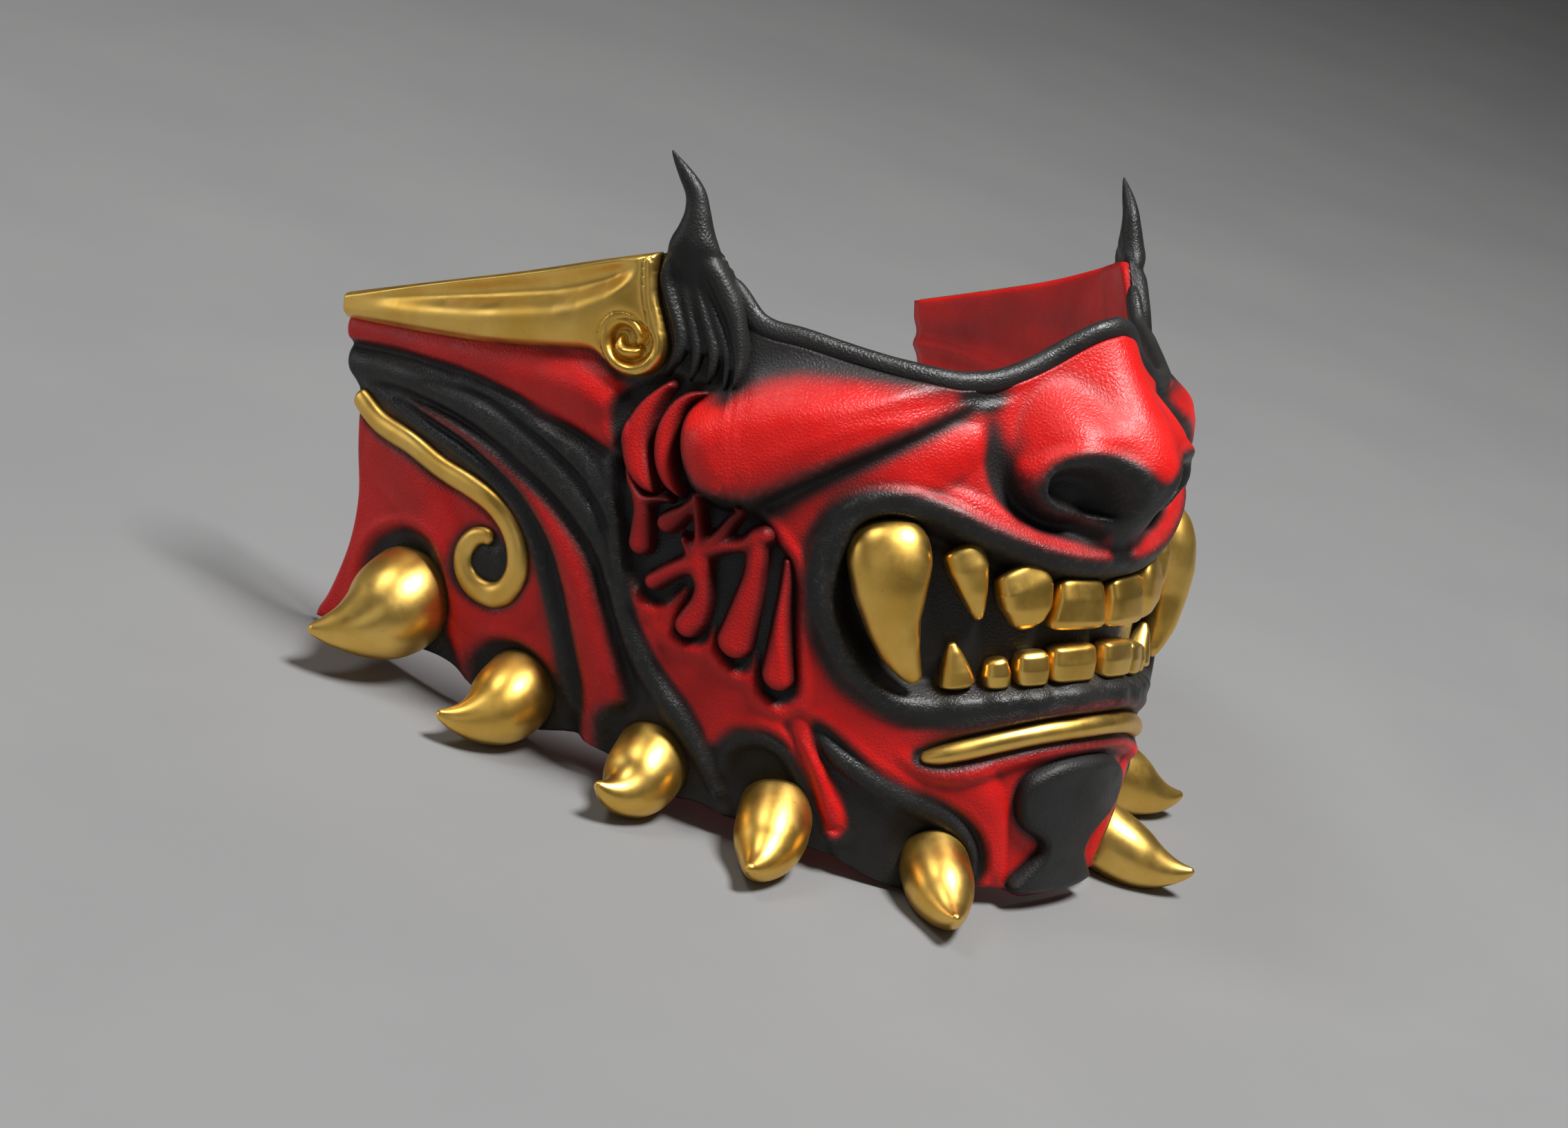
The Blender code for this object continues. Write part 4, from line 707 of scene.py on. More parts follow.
def wall(girth, height):
    """Points on the plain wall, before any relief."""
    girth = np.asarray(girth, float).ravel()
    height = np.asarray(height, float).ravel()
    across = np.concatenate([-STATIONS[:0:-1], STATIONS])
    round_shares = weights(across, np.abs(girth) / GIRTH_STEPS)
    up_shares = weights(LEVELS[:, 0], height / HEIGHT_STEPS)
    x_table, y_table = LEVELS[:, 1:6], LEVELS[:, 6:11]
    x_table = np.hstack([-x_table[:, :0:-1], x_table]) * HALF_WIDTH
    y_table = np.hstack([y_table[:, :0:-1], y_table]) * DEPTH
    x = ((up_shares @ x_table) * round_shares).sum(1) * np.where(girth < 0, -1, 1)
    y = ((up_shares @ y_table) * round_shares).sum(1)
    return np.stack([x, y, height / HEIGHT_STEPS * FACE_HEIGHT], 1)


def outward(girth, height):
    """Unit normals of the plain wall."""
    girth = np.asarray(girth, float).ravel()
    height = np.asarray(height, float).ravel()
    across = wall(girth + 0.5, height) - wall(girth - 0.5, height)
    upward = wall(girth, height + 0.5) - wall(girth, height - 0.5)
    normal = np.cross(across, upward)
    return normal / np.linalg.norm(normal, axis=1, keepdims=True)


def near_rows(girth, height, rows):
    """Which places lie within REACH of a table's rows."""
    low, high = rows[:, :2].min(0) - REACH, rows[:, :2].max(0) + REACH
    wide = rows[:, 2].max() if rows.shape[1] > 2 else 0
    return np.flatnonzero((girth > low[0] - wide) & (girth < high[0] + wide)
                          & (height > low[1] - wide) & (height < high[1] + wide))


def beside(girth, height, start, end):
    """How far along a line from start to end each place lies, and its distance from the line."""
    run = end[:2] - start[:2]
    share = ((girth - start[0]) * run[0] + (height - start[1]) * run[1]) / max(run @ run, 1e-9)
    share = np.clip(share, 0, 1)
    return share, np.hypot(girth - start[0] - share * run[0], height - start[1] - share * run[1])


def path_gap(girth, height, rows):
    """Steps from the side of a path, negative inside it, with its half width and share there."""
    rows = flowing(rows, steps=3)
    gap, half, share = np.full(len(girth), REACH), np.ones(len(girth)), np.zeros(len(girth))
    pick = near_rows(girth, height, rows)
    across, up, best = girth[pick], height[pick], np.full(len(pick), REACH)
    for start, end in zip(rows[:-1], rows[1:]):
        along, apart = beside(across, up, start, end)
        wide = start[2] + along * (end[2] - start[2])
        closer = apart - wide < best
        best = np.where(closer, apart - wide, best)
        half[pick[closer]] = wide[closer]
        share[pick[closer]] = (start[-1] + along * (end[-1] - start[-1]))[closer]
    gap[pick] = best
    return gap, half, share


def region_gap(girth, height, outline):
    """Steps from a closed outline, negative inside it."""
    outline = flowing(outline, closed=True, steps=3)
    gap = np.full(len(girth), REACH)
    pick = near_rows(girth, height, outline)
    across, up = girth[pick], height[pick]
    nearest, inside = np.full(len(pick), np.inf), np.zeros(len(pick), bool)
    for start, end in zip(outline, np.roll(outline, -1, axis=0)):
        nearest = np.minimum(nearest, beside(across, up, start, end)[1])
        run = end - start
        crosses = (start[1] > up) != (end[1] > up)
        inside ^= crosses & (across < start[0] + (up - start[1]) / (run[1] or 1.0) * run[0])
    gap[pick] = np.where(inside, -nearest, np.minimum(nearest, REACH))
    return gap


# ---------------------------------------------------------------- relief of the wall
def cheek(girth, height):
    """Rise of the big cheek roll: steep over its crease, running out towards the brow."""
    field = region_gap(girth, height, CHEEK_CREASE + CHEEK_OVER)
    crease = [(across, up, 0.01, 1) for across, up in CHEEK_CREASE]
    below = path_gap(girth, height, np.array(crease))[0]
    section = dome(-below, straight(CHEEK_FULL, girth))
    section += (eased(below / CHEEK_BROW_FULL) - section) * ramp(height, *CHEEK_BROW)
    left_over = straight(CHEEK_TOP, girth) + 3 - height
    run_out = eased(left_over / straight(CHEEK_RUN_OUT, girth))
    return CHEEK_RISE * straight(CHEEK_SHARE, girth) * section * run_out * (field < 0)


def bowls(girth, height, rows):
    """Round swellings or hollows, one by one: 1 in the middle of a row's circle, 0 at its edge."""
    for place_round, place_up, half in rows:
        apart = np.hypot(girth - place_round, height - place_up) / half
        yield np.clip(1 - apart ** 2, 0, None) ** 1.5


def broad_relief(girth, height):
    """The large forms, which every piece sits on, in metres."""
    girth = np.abs(np.asarray(girth, float).ravel())
    height = np.asarray(height, float).ravel()
    shares = weights(NOSE[:, 0], np.clip(height, NOSE[0, 0], NOSE[-1, 0]))
    ridge = NOSE_RISE * (shares @ NOSE[:, 1]) * np.exp(-(girth / (shares @ NOSE[:, 2])) ** 2)
    across = (girth - WING["centre"][0]) / WING["half"][0]
    upward = (height - WING["centre"][1]) / WING["half"][1]
    over = eased(0.5 + upward / WING_TURN)
    upward = np.where(upward > 0, upward * WING_FLATTER, upward)
    inner = np.clip(1 - across ** 2 - upward ** 2, 0, 1)
    wing = WING_RISE * inner ** (WING_POWER[0] + WING_POWER[1] * over)
    power = NOSE_MEETING[0] - NOSE_MEETING[1] * over
    ridge, wing = np.clip(ridge, 1e-5, None), np.clip(wing, 1e-5, None)
    total = (ridge ** power + wing ** power) ** (1 / power)
    total += cheek(girth, height)
    for name in BROAD_ROLLS:
        total += rolled(girth, height, *ROLLS[name])
    for bowl in bowls(girth, height, SOCKETS):
        total -= SOCKET_DEPTH / 1000 * bowl
    into = eased(-region_gap(girth, height, MOUTH_HOLLOW) / MOUTH_SLOPE)
    return total - MOUTH_DEPTH * into


def rolled(girth, height, rise, power, rows):
    """Rise of one roll, or fall of one groove, in metres."""
    gap, half, share = path_gap(girth, height, rows)
    section = np.clip(1 - np.clip((gap + half) / half, 0, None) ** 2, 0, None) ** power
    return rise / 1000 * share * section


def widened(rows, factor=1):
    """The path under a piece, its half widths times the factor."""
    return [(across, up, factor * half, 1) for across, up, half in rows]


SCROLL_BED = widened(SIDE_SCROLL, 1.9)
LIP_BAR_BED = widened(CHIN_BAR, 2.6)
# Seats pressed into the wall under the pieces on it: depth in mm and path. Their edge: how far
# inside the path's side the slope begins, and its width in steps
SEATS = [(0.3, widened(rows)) for rows in [CRESCENT_REAR, CRESCENT_FRONT] + TAIL_DRIP + DRIP_WEB]
SEATS += [(0.8, SCROLL_BED), (0.9, LIP_BAR_BED), (0.8, ROLLS["red_drop"][2])]
SEAT_EDGE = (-0.3, 0.9)


def full_relief(girth, height):
    """The large forms with every fold, step, groove and seat, in metres."""
    girth = np.abs(np.asarray(girth, float).ravel())
    height = np.asarray(height, float).ravel()
    total = broad_relief(girth, height)
    for name, roll in ROLLS.items():
        if name not in BROAD_ROLLS:
            total += rolled(girth, height, *roll)
    for rise, slope, lip, outline in TERRACES.values():
        gap = region_gap(girth, height, outline)
        total += rise / 1000 * eased(0.5 - gap / slope)
        total += lip / 1000 * np.exp(-((gap - TERRACE_LIP[0]) / TERRACE_LIP[1]) ** 2)
    for depth, rows in SEATS:
        gap = path_gap(girth, height, rows)[0]
        total -= depth / 1000 * np.exp(-(np.clip(gap, SEAT_EDGE[0], None) / SEAT_EDGE[1]) ** 2)
    for bowl in bowls(girth, height, GUMS):
        total += GUM_RISE / 1000 * bowl
    return total - NOSTRIL_DEPTH * eased(-region_gap(girth, height, NOSTRIL) / NOSTRIL_SLOPE)


def face(girth, height, out=0.0):
    """Points on the large forms, moved out along the wall's normal."""
    stand_off = broad_relief(girth, height) + out
    return wall(girth, height) + stand_off[:, None] * outward(girth, height)


# Airbrushed paint, one coat over another, a few of them painted shade: tone (0 black, 1 red),
# softness in steps, how far the coat leans past its outline as a share of the softness, region or
# path
COATS = [
    (0, 9.0, 0.08, "region", CHEEK_FADE),
    (0, 4.2, 0.16, "region", SWEPT_FIELD),
    (1, 5.2, -0.34, "region", STRIPE),
    (0, 3.6, 0.2, "region", CRESCENT_HOLLOW),
    (0, 3.4, 0.14, "region", DRIP_FIELD),
    (0, 4.4, 0.14, "region", FRONT_ARCH),
    (0, 4.4, 0.14, "region", LOWER_BLACK),
    (0, 5.2, 0.1, "region", REAR_ARCH),
    (0, 6.0, 0.02, "region", CORNER_ARCH),
    (0, 1.6, 0.2, "region", SCROLL_EYE),
    (0, 5.6, 0.2, "region", MOUTH_BLACK),
    (0, 4.0, 0.1, "region", NOSE_UNDER),
    (0, 4.4, 0.3, "region", CHIN_PATCH),
    (0, 1.6, 0.2, "region", HORN_FIELD),
    (0, 5.0, 0.2, "path", [
        (31, 109, 0.6, 0.4), (30.4, 104, 1.2, 0.75), (29.8, 99, 1.6, 0.95), (28.4, 94, 2, 1),
        (25.3, 89, 2, 1), (20, 85.2, 1.8, 1), (13, 82.6, 1.4, 1), (7, 81, 1, 1),
    ]),
    (0, 4.0, 0.1, "path", [
        (37, 110.6, 0.8, 0.7), (32, 109.8, 1.8, 0.85), (28.5, 109.4, 1.4, 0.5),
        (26.5, 110, 0.8, 0.1),
    ]),
    # dark coat under the cheek roll: airbrushed dark paint together with painted shade under the
    # roll
    (0, 6.0, 0.2, "path", [
        (94.6, 108, 0.2, 0.7), (94.8, 101, 0.6, 1), (94, 96, 1, 1), (92, 91.2, 1.8, 1),
        (88, 88, 2.4, 1), (84, 86.9, 2.6, 1), (80, 87.2, 2.2, 1), (75, 89.3, 1.5, 1),
        (70, 91.8, 1.1, 1), (60, 96.4, 0.9, 1), (50, 101, 0.8, 1), (40, 105.7, 0.8, 1),
        (32, 109.6, 0.6, 1),
    ]),
    # dark coats round the hooked bar and the chin bar: painted shade where they sit in the wall
    (0, 4.4, 0.3, "path", SCROLL_BED),
    (0, 4.6, 0.3, "path", LIP_BAR_BED),
    # thin dark coat along the plate's lower edge: painted shade under the plate
    (0, 3.0, 0.2, "path", [
        (123, 121, 0.2, 0.4), (114.6, 120, 0.4, 0.7), (110.6, 116.4, 0.4, 0.9),
        (105, 113.6, 0.5, 1), (99, 115, 0.6, 1),
    ]),
    (1, 2.2, 0.1, "path", [(*row[:3], 1) for row in ROLLS["red_drop"][2]]),
]


def paint(girth, height):
    """Share of red at each place on the wall, before the painted shade in its creases darkens it."""
    girth = np.abs(girth)
    tone = np.ones(len(girth))
    for colour, soft, lean, kind, rows in COATS:
        if kind == "region":
            cover = eased(0.5 + lean - region_gap(girth, height, rows) / soft)
        else:
            gap, _, share = path_gap(girth, height, rows)
            cover = eased(0.5 + lean - gap / soft) * share
        tone = tone * (1 - cover) + colour * cover
    return tone


def blurred(grid, times):
    """A grid smoothed towards its neighbours."""
    for _ in range(times):
        grid = np.pad(grid, 1, mode="edge")
        grid = (grid[1:-1, :-2] + 2 * grid[1:-1, 1:-1] + grid[1:-1, 2:]) / 4
        grid = np.pad(grid, 1, mode="edge")
        grid = (grid[:-2, 1:-1] + 2 * grid[1:-1, 1:-1] + grid[2:, 1:-1]) / 4
    return grid


# ---------------------------------------------------------------- meshes
REST = Matrix.Translation(REST_SHIFT) @ Matrix.Rotation(math.radians(REST_TURN), 4, "X")
REST_ROTATION = np.array(REST.to_3x3())


def keep_values(mesh, name, values):
    """Keeps a value on each point of a mesh."""
    layer = mesh.attributes.new(name, "FLOAT", "POINT")
    layer.data.foreach_set("value", np.asarray(values, np.float32).ravel())


def read_values(mesh, name):
    values = np.empty(len(mesh.vertices), np.float32)
    mesh.attributes[name].data.foreach_get("value", values)
    return values


def linked(name, data):
    """New object in the scene, at the origin."""
    item = bpy.data.objects.new(name, data)
    bpy.context.collection.objects.link(item)
    return item


def piece(name, points, faces, values=None, edges=()):
    """Object at rest from points of the worn mask, with values kept on its points."""
    mesh = bpy.data.meshes.new(name)
    points = np.asarray(points) @ REST_ROTATION.T + REST_SHIFT
    mesh.from_pydata(points.tolist(), list(edges), faces)
    for key, numbers in (values or {}).items():
        keep_values(mesh, key, numbers)
    mesh.shade_smooth()
    return linked(name, mesh)


def outward_faces(item):
    """Turns a closed piece's faces outwards."""
    shape = bmesh.new()
    shape.from_mesh(item.data)
    bmesh.ops.recalc_face_normals(shape, faces=shape.faces)
    shape.to_mesh(item.data)
    shape.free()
    return item


def bar(name, centres, normals, half_width, half_depth, sides, squareness=2.0):
    """Closed bar through the centres, rounded to a point at both ends."""
    along = np.gradient(centres, axis=0)
    along /= np.linalg.norm(along, axis=1, keepdims=True)
    across = np.cross(normals, along)
    across /= np.linalg.norm(across, axis=1, keepdims=True)
    out = np.cross(along, across)
    turn = math.pi / 2 + np.arange(sides) * 2 * math.pi / sides
    cosine, sine = np.cos(turn), np.sin(turn)
    cosine = np.sign(cosine) * np.abs(cosine) ** (2 / squareness)
    sine = np.sign(sine) * np.abs(sine) ** (2 / squareness)
    wide = across[:, None] * (half_width[:, None] * cosine)[..., None]
    deep = out[:, None] * (half_depth[:, None] * sine)[..., None]
    rings = (centres[:, None] + wide + deep)[1:-1]
    points = np.vstack([centres[:1], rings.reshape(-1, 3), centres[-1:]])
    last = len(points) - 1
    faces = []
    for k in range(sides):
        after = (k + 1) % sides
        faces.append((0, 1 + k, 1 + after))
        for ring in range(len(rings) - 1):
            low, high = 1 + ring * sides, 1 + (ring + 1) * sides
            faces.append((low + k, high + k, high + after, low + after))
        faces.append((last - sides + k, last, last - sides + after))
    return outward_faces(piece(name, points, faces))


def spread(rows, count):
    """Rows at even distances along a table, and those distances."""
    rows = np.array(rows, float)
    reach = np.concatenate([[0], np.cumsum(np.hypot(*np.diff(rows[:, :2], axis=0).T))])
    places = np.linspace(0, reach[-1], count)
    return np.stack([np.interp(places, reach, column) for column in rows.T], 1), places


def add_node(tree, kind, inputs=None, **settings):
    """A node with its settings, and its inputs wired to a socket or set to a value."""
    made = tree.nodes.new(kind)
    for key, setting in settings.items():
        setattr(made, key, setting)
    for key, source in (inputs or {}).items():
        if isinstance(source, bpy.types.NodeSocket):
            tree.links.new(source, made.inputs[key])
        else:
            made.inputs[key].default_value = source
    return made


def sweep_tree():
    """Geometry Nodes that sweep a rounded section along a path, a little uneven as by hand."""
    tree = bpy.data.node_groups.new("swept_path", "GeometryNodeTree")
    sockets = {"Path": "Geometry", "Half Width": "Float", "Half Depth": "Float", "Sides": "Int",
               "Unevenness": "Float", "Seed": "Float", "Material": "Material"}
    for name, kind in sockets.items():
        tree.interface.new_socket(name, in_out="INPUT", socket_type="NodeSocket" + kind)
    tree.interface.new_socket("Bar", in_out="OUTPUT", socket_type="NodeSocketGeometry")
    given = tree.nodes.new("NodeGroupInput").outputs

    def node(kind, inputs, **settings):
        return add_node(tree, kind, inputs, **settings).outputs[0]

    def kept(name, kind):
        return node("GeometryNodeInputNamedAttribute", {"Name": name}, data_type=kind)

    curve = node("GeometryNodeMeshToCurve", {"Mesh": given["Path"]})
    curve = node("GeometryNodeSetCurveNormal",
                 {"Curve": curve, "Normal": kept("out", "FLOAT_VECTOR")}, mode="FREE")
    uneven = node("ShaderNodeTexNoise", {"W": given["Seed"], "Scale": UNEVEN_SCALE},
                  noise_dimensions="4D")
    uneven = node("ShaderNodeMath", {0: uneven, 1: 0.5}, operation="SUBTRACT")
    uneven = node("ShaderNodeMath", {0: uneven, 1: given["Unevenness"], 2: 1.0},
                  operation="MULTIPLY_ADD")
    size = node("ShaderNodeMath", {0: kept("size", "FLOAT"), 1: uneven}, operation="MULTIPLY")
    halves = {"X": given["Half Width"], "Y": given["Half Depth"], "Z": 1.0}
    halves = node("ShaderNodeCombineXYZ", halves)
    ring = node("GeometryNodeCurvePrimitiveCircle", {"Resolution": given["Sides"], "Radius": 1.0})
    ring = node("GeometryNodeTransform", {"Geometry": ring, "Scale": halves})
    sweep = {"Curve": curve, "Profile Curve": ring, "Scale": size, "Fill Caps": True}
    shape = node("GeometryNodeCurveToMesh", sweep)
    shape = node("GeometryNodeSetShadeSmooth", {0: shape})
    shape = node("GeometryNodeRealizeInstances", {0: shape})
    shape = node("GeometryNodeSetMaterial", {"Geometry": shape, "Material": given["Material"]})
    add_node(tree, "NodeGroupOutput", {0: shape})
    return tree


def swept(tree, name, centres, normals, size, settings):
    """Bar along the centres by the sweep tree, as a plain closed mesh."""
    edges = [(i, i + 1) for i in range(len(centres) - 1)]
    item = piece(name, centres, [], {"size": size}, edges)
    out = item.data.attributes.new("out", "FLOAT_VECTOR", "POINT")
    out.data.foreach_set("vector", (normals @ REST_ROTATION.T).astype(np.float32).ravel())
    change = item.modifiers.new("sweep", "NODES")
    change.node_group = tree
    for socket in tree.interface.items_tree:
        if socket.name in settings:
            change[socket.identifier] = settings[socket.name]
    return outward_faces(plain(item))


def plain(item):
    """The item with its modifiers' result as its own mesh."""
    seen = item.evaluated_get(bpy.context.evaluated_depsgraph_get())
    item.data = bpy.data.meshes.new_from_object(seen)
    item.modifiers.clear()
    item.data.name = item.name
    item.data.shade_smooth()
    return item


def soften(item, times):
    """Smooths a piece's points towards their neighbours."""
    change = item.modifiers.new("soften", "SMOOTH")
    change.factor = 0.5
    change.iterations = times
    return plain(item)


def round_ends(places, first, last):
    """Share of a bar's size that rounds off its two ends over the given lengths."""
    end = np.clip((places[-1] - places) / last, 0, 1)
    begin = np.clip((places - places[0]) / first, 0, 1)
    return np.sqrt(1 - (1 - end) ** 2) * np.sqrt(1 - (1 - begin) ** 2) + 0.004


def wall_bar(tree, name, rows, side, sizes, material):
    """Bar on the face through a table of round, up and share of its half width, with round ends."""
    half, rise, sunk, seed = sizes
    length = np.hypot(*np.diff(np.array(rows, float)[:, :2], axis=0).T).sum()
    rows, places = spread(flowing(rows, steps=8), max(12, int(length / BAR_PITCH)))
    share = np.clip(rows[:, 2], 0.03, None)
    first, last = (half / STEP * share[end] + 0.2 for end in (0, -1))
    size = share * round_ends(places, first, last)
    girth, height = rows[:, 0] * side, rows[:, 1]
    normals = outward(girth, height)
    centres = face(girth, height) - (sunk * rise) * normals
    settings = {"Half Width": half, "Half Depth": rise * (1 + sunk), "Sides": 24,
                "Unevenness": BAR_UNEVEN, "Seed": seed, "Material": material}
    return swept(tree, name, centres, normals, size, settings)


def joined(name, items, voxel, smoothing):
    """One flowing body of several closed pieces."""
    shape = bmesh.new()
    for item in items:
        shape.from_mesh(item.data)
        bpy.data.objects.remove(item)
    mesh = bpy.data.meshes.new(name)
    shape.to_mesh(mesh)
    shape.free()
    item = linked(name, mesh)
    change = item.modifiers.new("blend", "REMESH")
    change.mode = "VOXEL"
    change.voxel_size = voxel
    shape = bmesh.new()
    shape.from_mesh(soften(item, smoothing).data)
    bmesh.ops.dissolve_degenerate(shape, edges=shape.edges, dist=WELD)
    bmesh.ops.triangulate(shape, faces=[face for face in shape.faces if len(face.verts) > 4])
    shape.to_mesh(item.data)
    shape.free()
    return item


# ---------------------------------------------------------------- the wall
def wall_grid(columns, rows):
    """Places of a grid over the whole wall, and their distance from its free edges in steps."""
    bottom, top = table(BOTTOM_EDGE, np.abs(columns)), table(TOP_EDGE, np.abs(columns))
    under_rim = 1 - eased((np.abs(columns) - RIM_END) / RIM_FADE)
    top = top - RIM_DROP / STEP * under_rim
    share = np.linspace(0, 1, rows)[:, None]
    share = share - ROW_SHIFT * np.sin(share * 2 * math.pi)
    height = bottom + (top - bottom) * share
    girth = np.broadcast_to(columns, height.shape)
    lean = table(REAR_EDGE, height.ravel()).reshape(height.shape)
    to_rear = GIRTH_STEPS - np.abs(girth)
    edge = np.minimum(np.minimum(height - bottom, top - height + 20 * under_rim), to_rear)
    girth = girth + np.sign(girth) * lean * (np.abs(girth) / GIRTH_STEPS) ** REAR_POWER
    return girth, height, edge


def leather_wall():
    """The leather wall: a fine outer side, a coarser inner side and a closed edge between them."""
    half = np.concatenate([np.arange(0, FINE_STATION, FINE_PITCH),
                           np.arange(FINE_STATION, GIRTH_STEPS - 0.4, COARSE_PITCH), [GIRTH_STEPS]])
    spare = (len(half) - 1) % INNER_SKIP
    half = np.delete(half, slice(-1 - spare, -1)) if spare else half
    columns = np.concatenate([-half[:0:-1], half])
    girth, height, edge = wall_grid(columns, WALL_ROWS)
    shape = girth.shape
    relief = blurred(full_relief(girth, height).reshape(shape), 1)
    rounding = EDGE_ROUND * (1 - dome(-edge, EDGE_STEPS))
    normals = outward(girth, height).reshape(shape + (3,))
    bare = wall(girth, height).reshape(shape + (3,))
    outer = bare + (relief - rounding)[..., None] * normals
    soft = blurred(relief, CREST_SMOOTHED)
    under = np.minimum(soft - WALL, relief - THINNEST) + rounding
    skip = slice(None, None, INNER_SKIP)
    inner = (bare + under[..., None] * normals)[skip, skip]
    inner_red = inner_paint_with_fold_shade(girth[skip, skip].ravel(), height[skip, skip].ravel())
    none = np.zeros(len(inner_red))
    values = {
        "red": np.concatenate([paint(girth.ravel(), height.ravel()), inner_red]),
        # painted shade in the wall's hollows, which also stands for airbrushed dark paint there
        "crease": np.concatenate([hollow_shade_and_airbrush(girth, height, relief).ravel(), none]),
        # where a speckled painted highlight goes on the crests
        "crest": np.concatenate([eased((relief - soft) / CREST_RISE).ravel(), none]),
    }
    points = np.concatenate([outer.reshape(-1, 3), inner.reshape(-1, 3)])
    faces, inner_side = wall_faces(*shape)
    return piece("leather_wall", points, faces, values), inner_side


def hollow_shade_and_airbrush(girth, height, relief):
    """Painted shade, with airbrushed dark, in the wall's folds and hollows; weaker on the nose
    bridge.
    """
    bridge = ramp(np.abs(girth), *BRIDGE_ROUND) * ramp(height, *BRIDGE_UP)
    light = 1.0
    for times, start, full, strength, spared in HOLLOWS:
        depth = eased((blurred(relief, times) - relief - start) / full)
        light = light * (1 - (strength - spared * bridge) * depth)
    return 1 - light


def inner_paint_with_fold_shade(girth, height):
    """Paint inside the wall: red, with soft bands of painted shade for its folds and for a step by
    the horns.
    """
    girth = np.abs(girth)
    wave = height + 4 * np.sin(girth / 31) + 2.2 * np.sin(girth / 13 + 1)
    bands = 0.5 + 0.5 * np.sin(wave / BAND_PITCH)
    step = girth - INNER_STEP["round"] - (height - INNER_STEP["up"]) * INNER_STEP["slant"]
    step = np.exp(-(step / INNER_STEP["width"]) ** 2) * (height > INNER_STEP["from"])
    return 1 - FOLD_SHADE * bands ** 2 - FOLD_SHADE * step


def wall_faces(rows, columns):
    """Faces of the wall: outer grid, coarser inner grid, and the closed edge between them."""
    def outer(r, c):
        return r * columns + c

    inner_rows, inner_columns = (rows - 1) // INNER_SKIP + 1, (columns - 1) // INNER_SKIP + 1
    start = rows * columns

    def inner(r, c):
        return start + r * inner_columns + c

    faces = [(outer(r, c), outer(r, c + 1), outer(r + 1, c + 1), outer(r + 1, c))
             for r in range(rows - 1) for c in range(columns - 1)]
    first = len(faces)
    faces += [(inner(r, c), inner(r + 1, c), inner(r + 1, c + 1), inner(r, c + 1))
              for r in range(inner_rows - 1) for c in range(inner_columns - 1)]
    inner_side = range(first, len(faces))
    rim = [(0, c) for c in range(columns)] + [(r, columns - 1) for r in range(1, rows)]
    rim += [(rows - 1, c) for c in range(columns - 2, -1, -1)]
    rim += [(r, 0) for r in range(rows - 2, 0, -1)]
    for i in range(0, len(rim), INNER_SKIP):
        run = [rim[(i + k) % len(rim)] for k in range(INNER_SKIP + 1)]
        near, far = (inner(r // INNER_SKIP, c // INNER_SKIP) for r, c in (run[0], run[-1]))
        turn = INNER_SKIP // 2 + 1
        for k in range(INNER_SKIP):
            faces.append((outer(*run[k + 1]), outer(*run[k]), near if k < turn else far))
        faces.append((outer(*run[turn]), near, far))
    return faces, inner_side


def held_in(item, tree, inner_side):
    """Brings points that come through the wall's inner side back under its surface."""
    for vertex in item.data.vertices:
        place, normal, index, _ = tree.find_nearest(vertex.co, INNER_REACH)
        if index is not None and index in inner_side:
            if (vertex.co - place).dot(normal) > -INNER_COVER:
                vertex.co = place - normal * INNER_COVER


# ---------------------------------------------------------------- pieces on the wall
def rim_bead(tree, material):
    """Rolled bead on the upper edge, from horn to horn over the nose bridge."""
    half = np.concatenate([np.arange(0, 78, 0.6), np.linspace(78.2, 83.4, 14)])
    girth = np.concatenate([-half[:0:-1], half])
    height = table(TOP_EDGE, np.abs(girth)) - RIM_BELOW
    normals = outward(girth, height)
    centres = wall(girth, height) + (broad_relief(girth, height) - WALL / 2)[:, None] * normals
    size = round_ends(girth, RIM_ROUND, RIM_ROUND)
    settings = {"Half Width": RIM_HALF[0], "Half Depth": RIM_HALF[1], "Sides": 20,
                "Unevenness": RIM_UNEVEN, "Seed": RIM_SEED, "Material": material}
    return swept(tree, "rim_bead", centres, normals, size, settings)


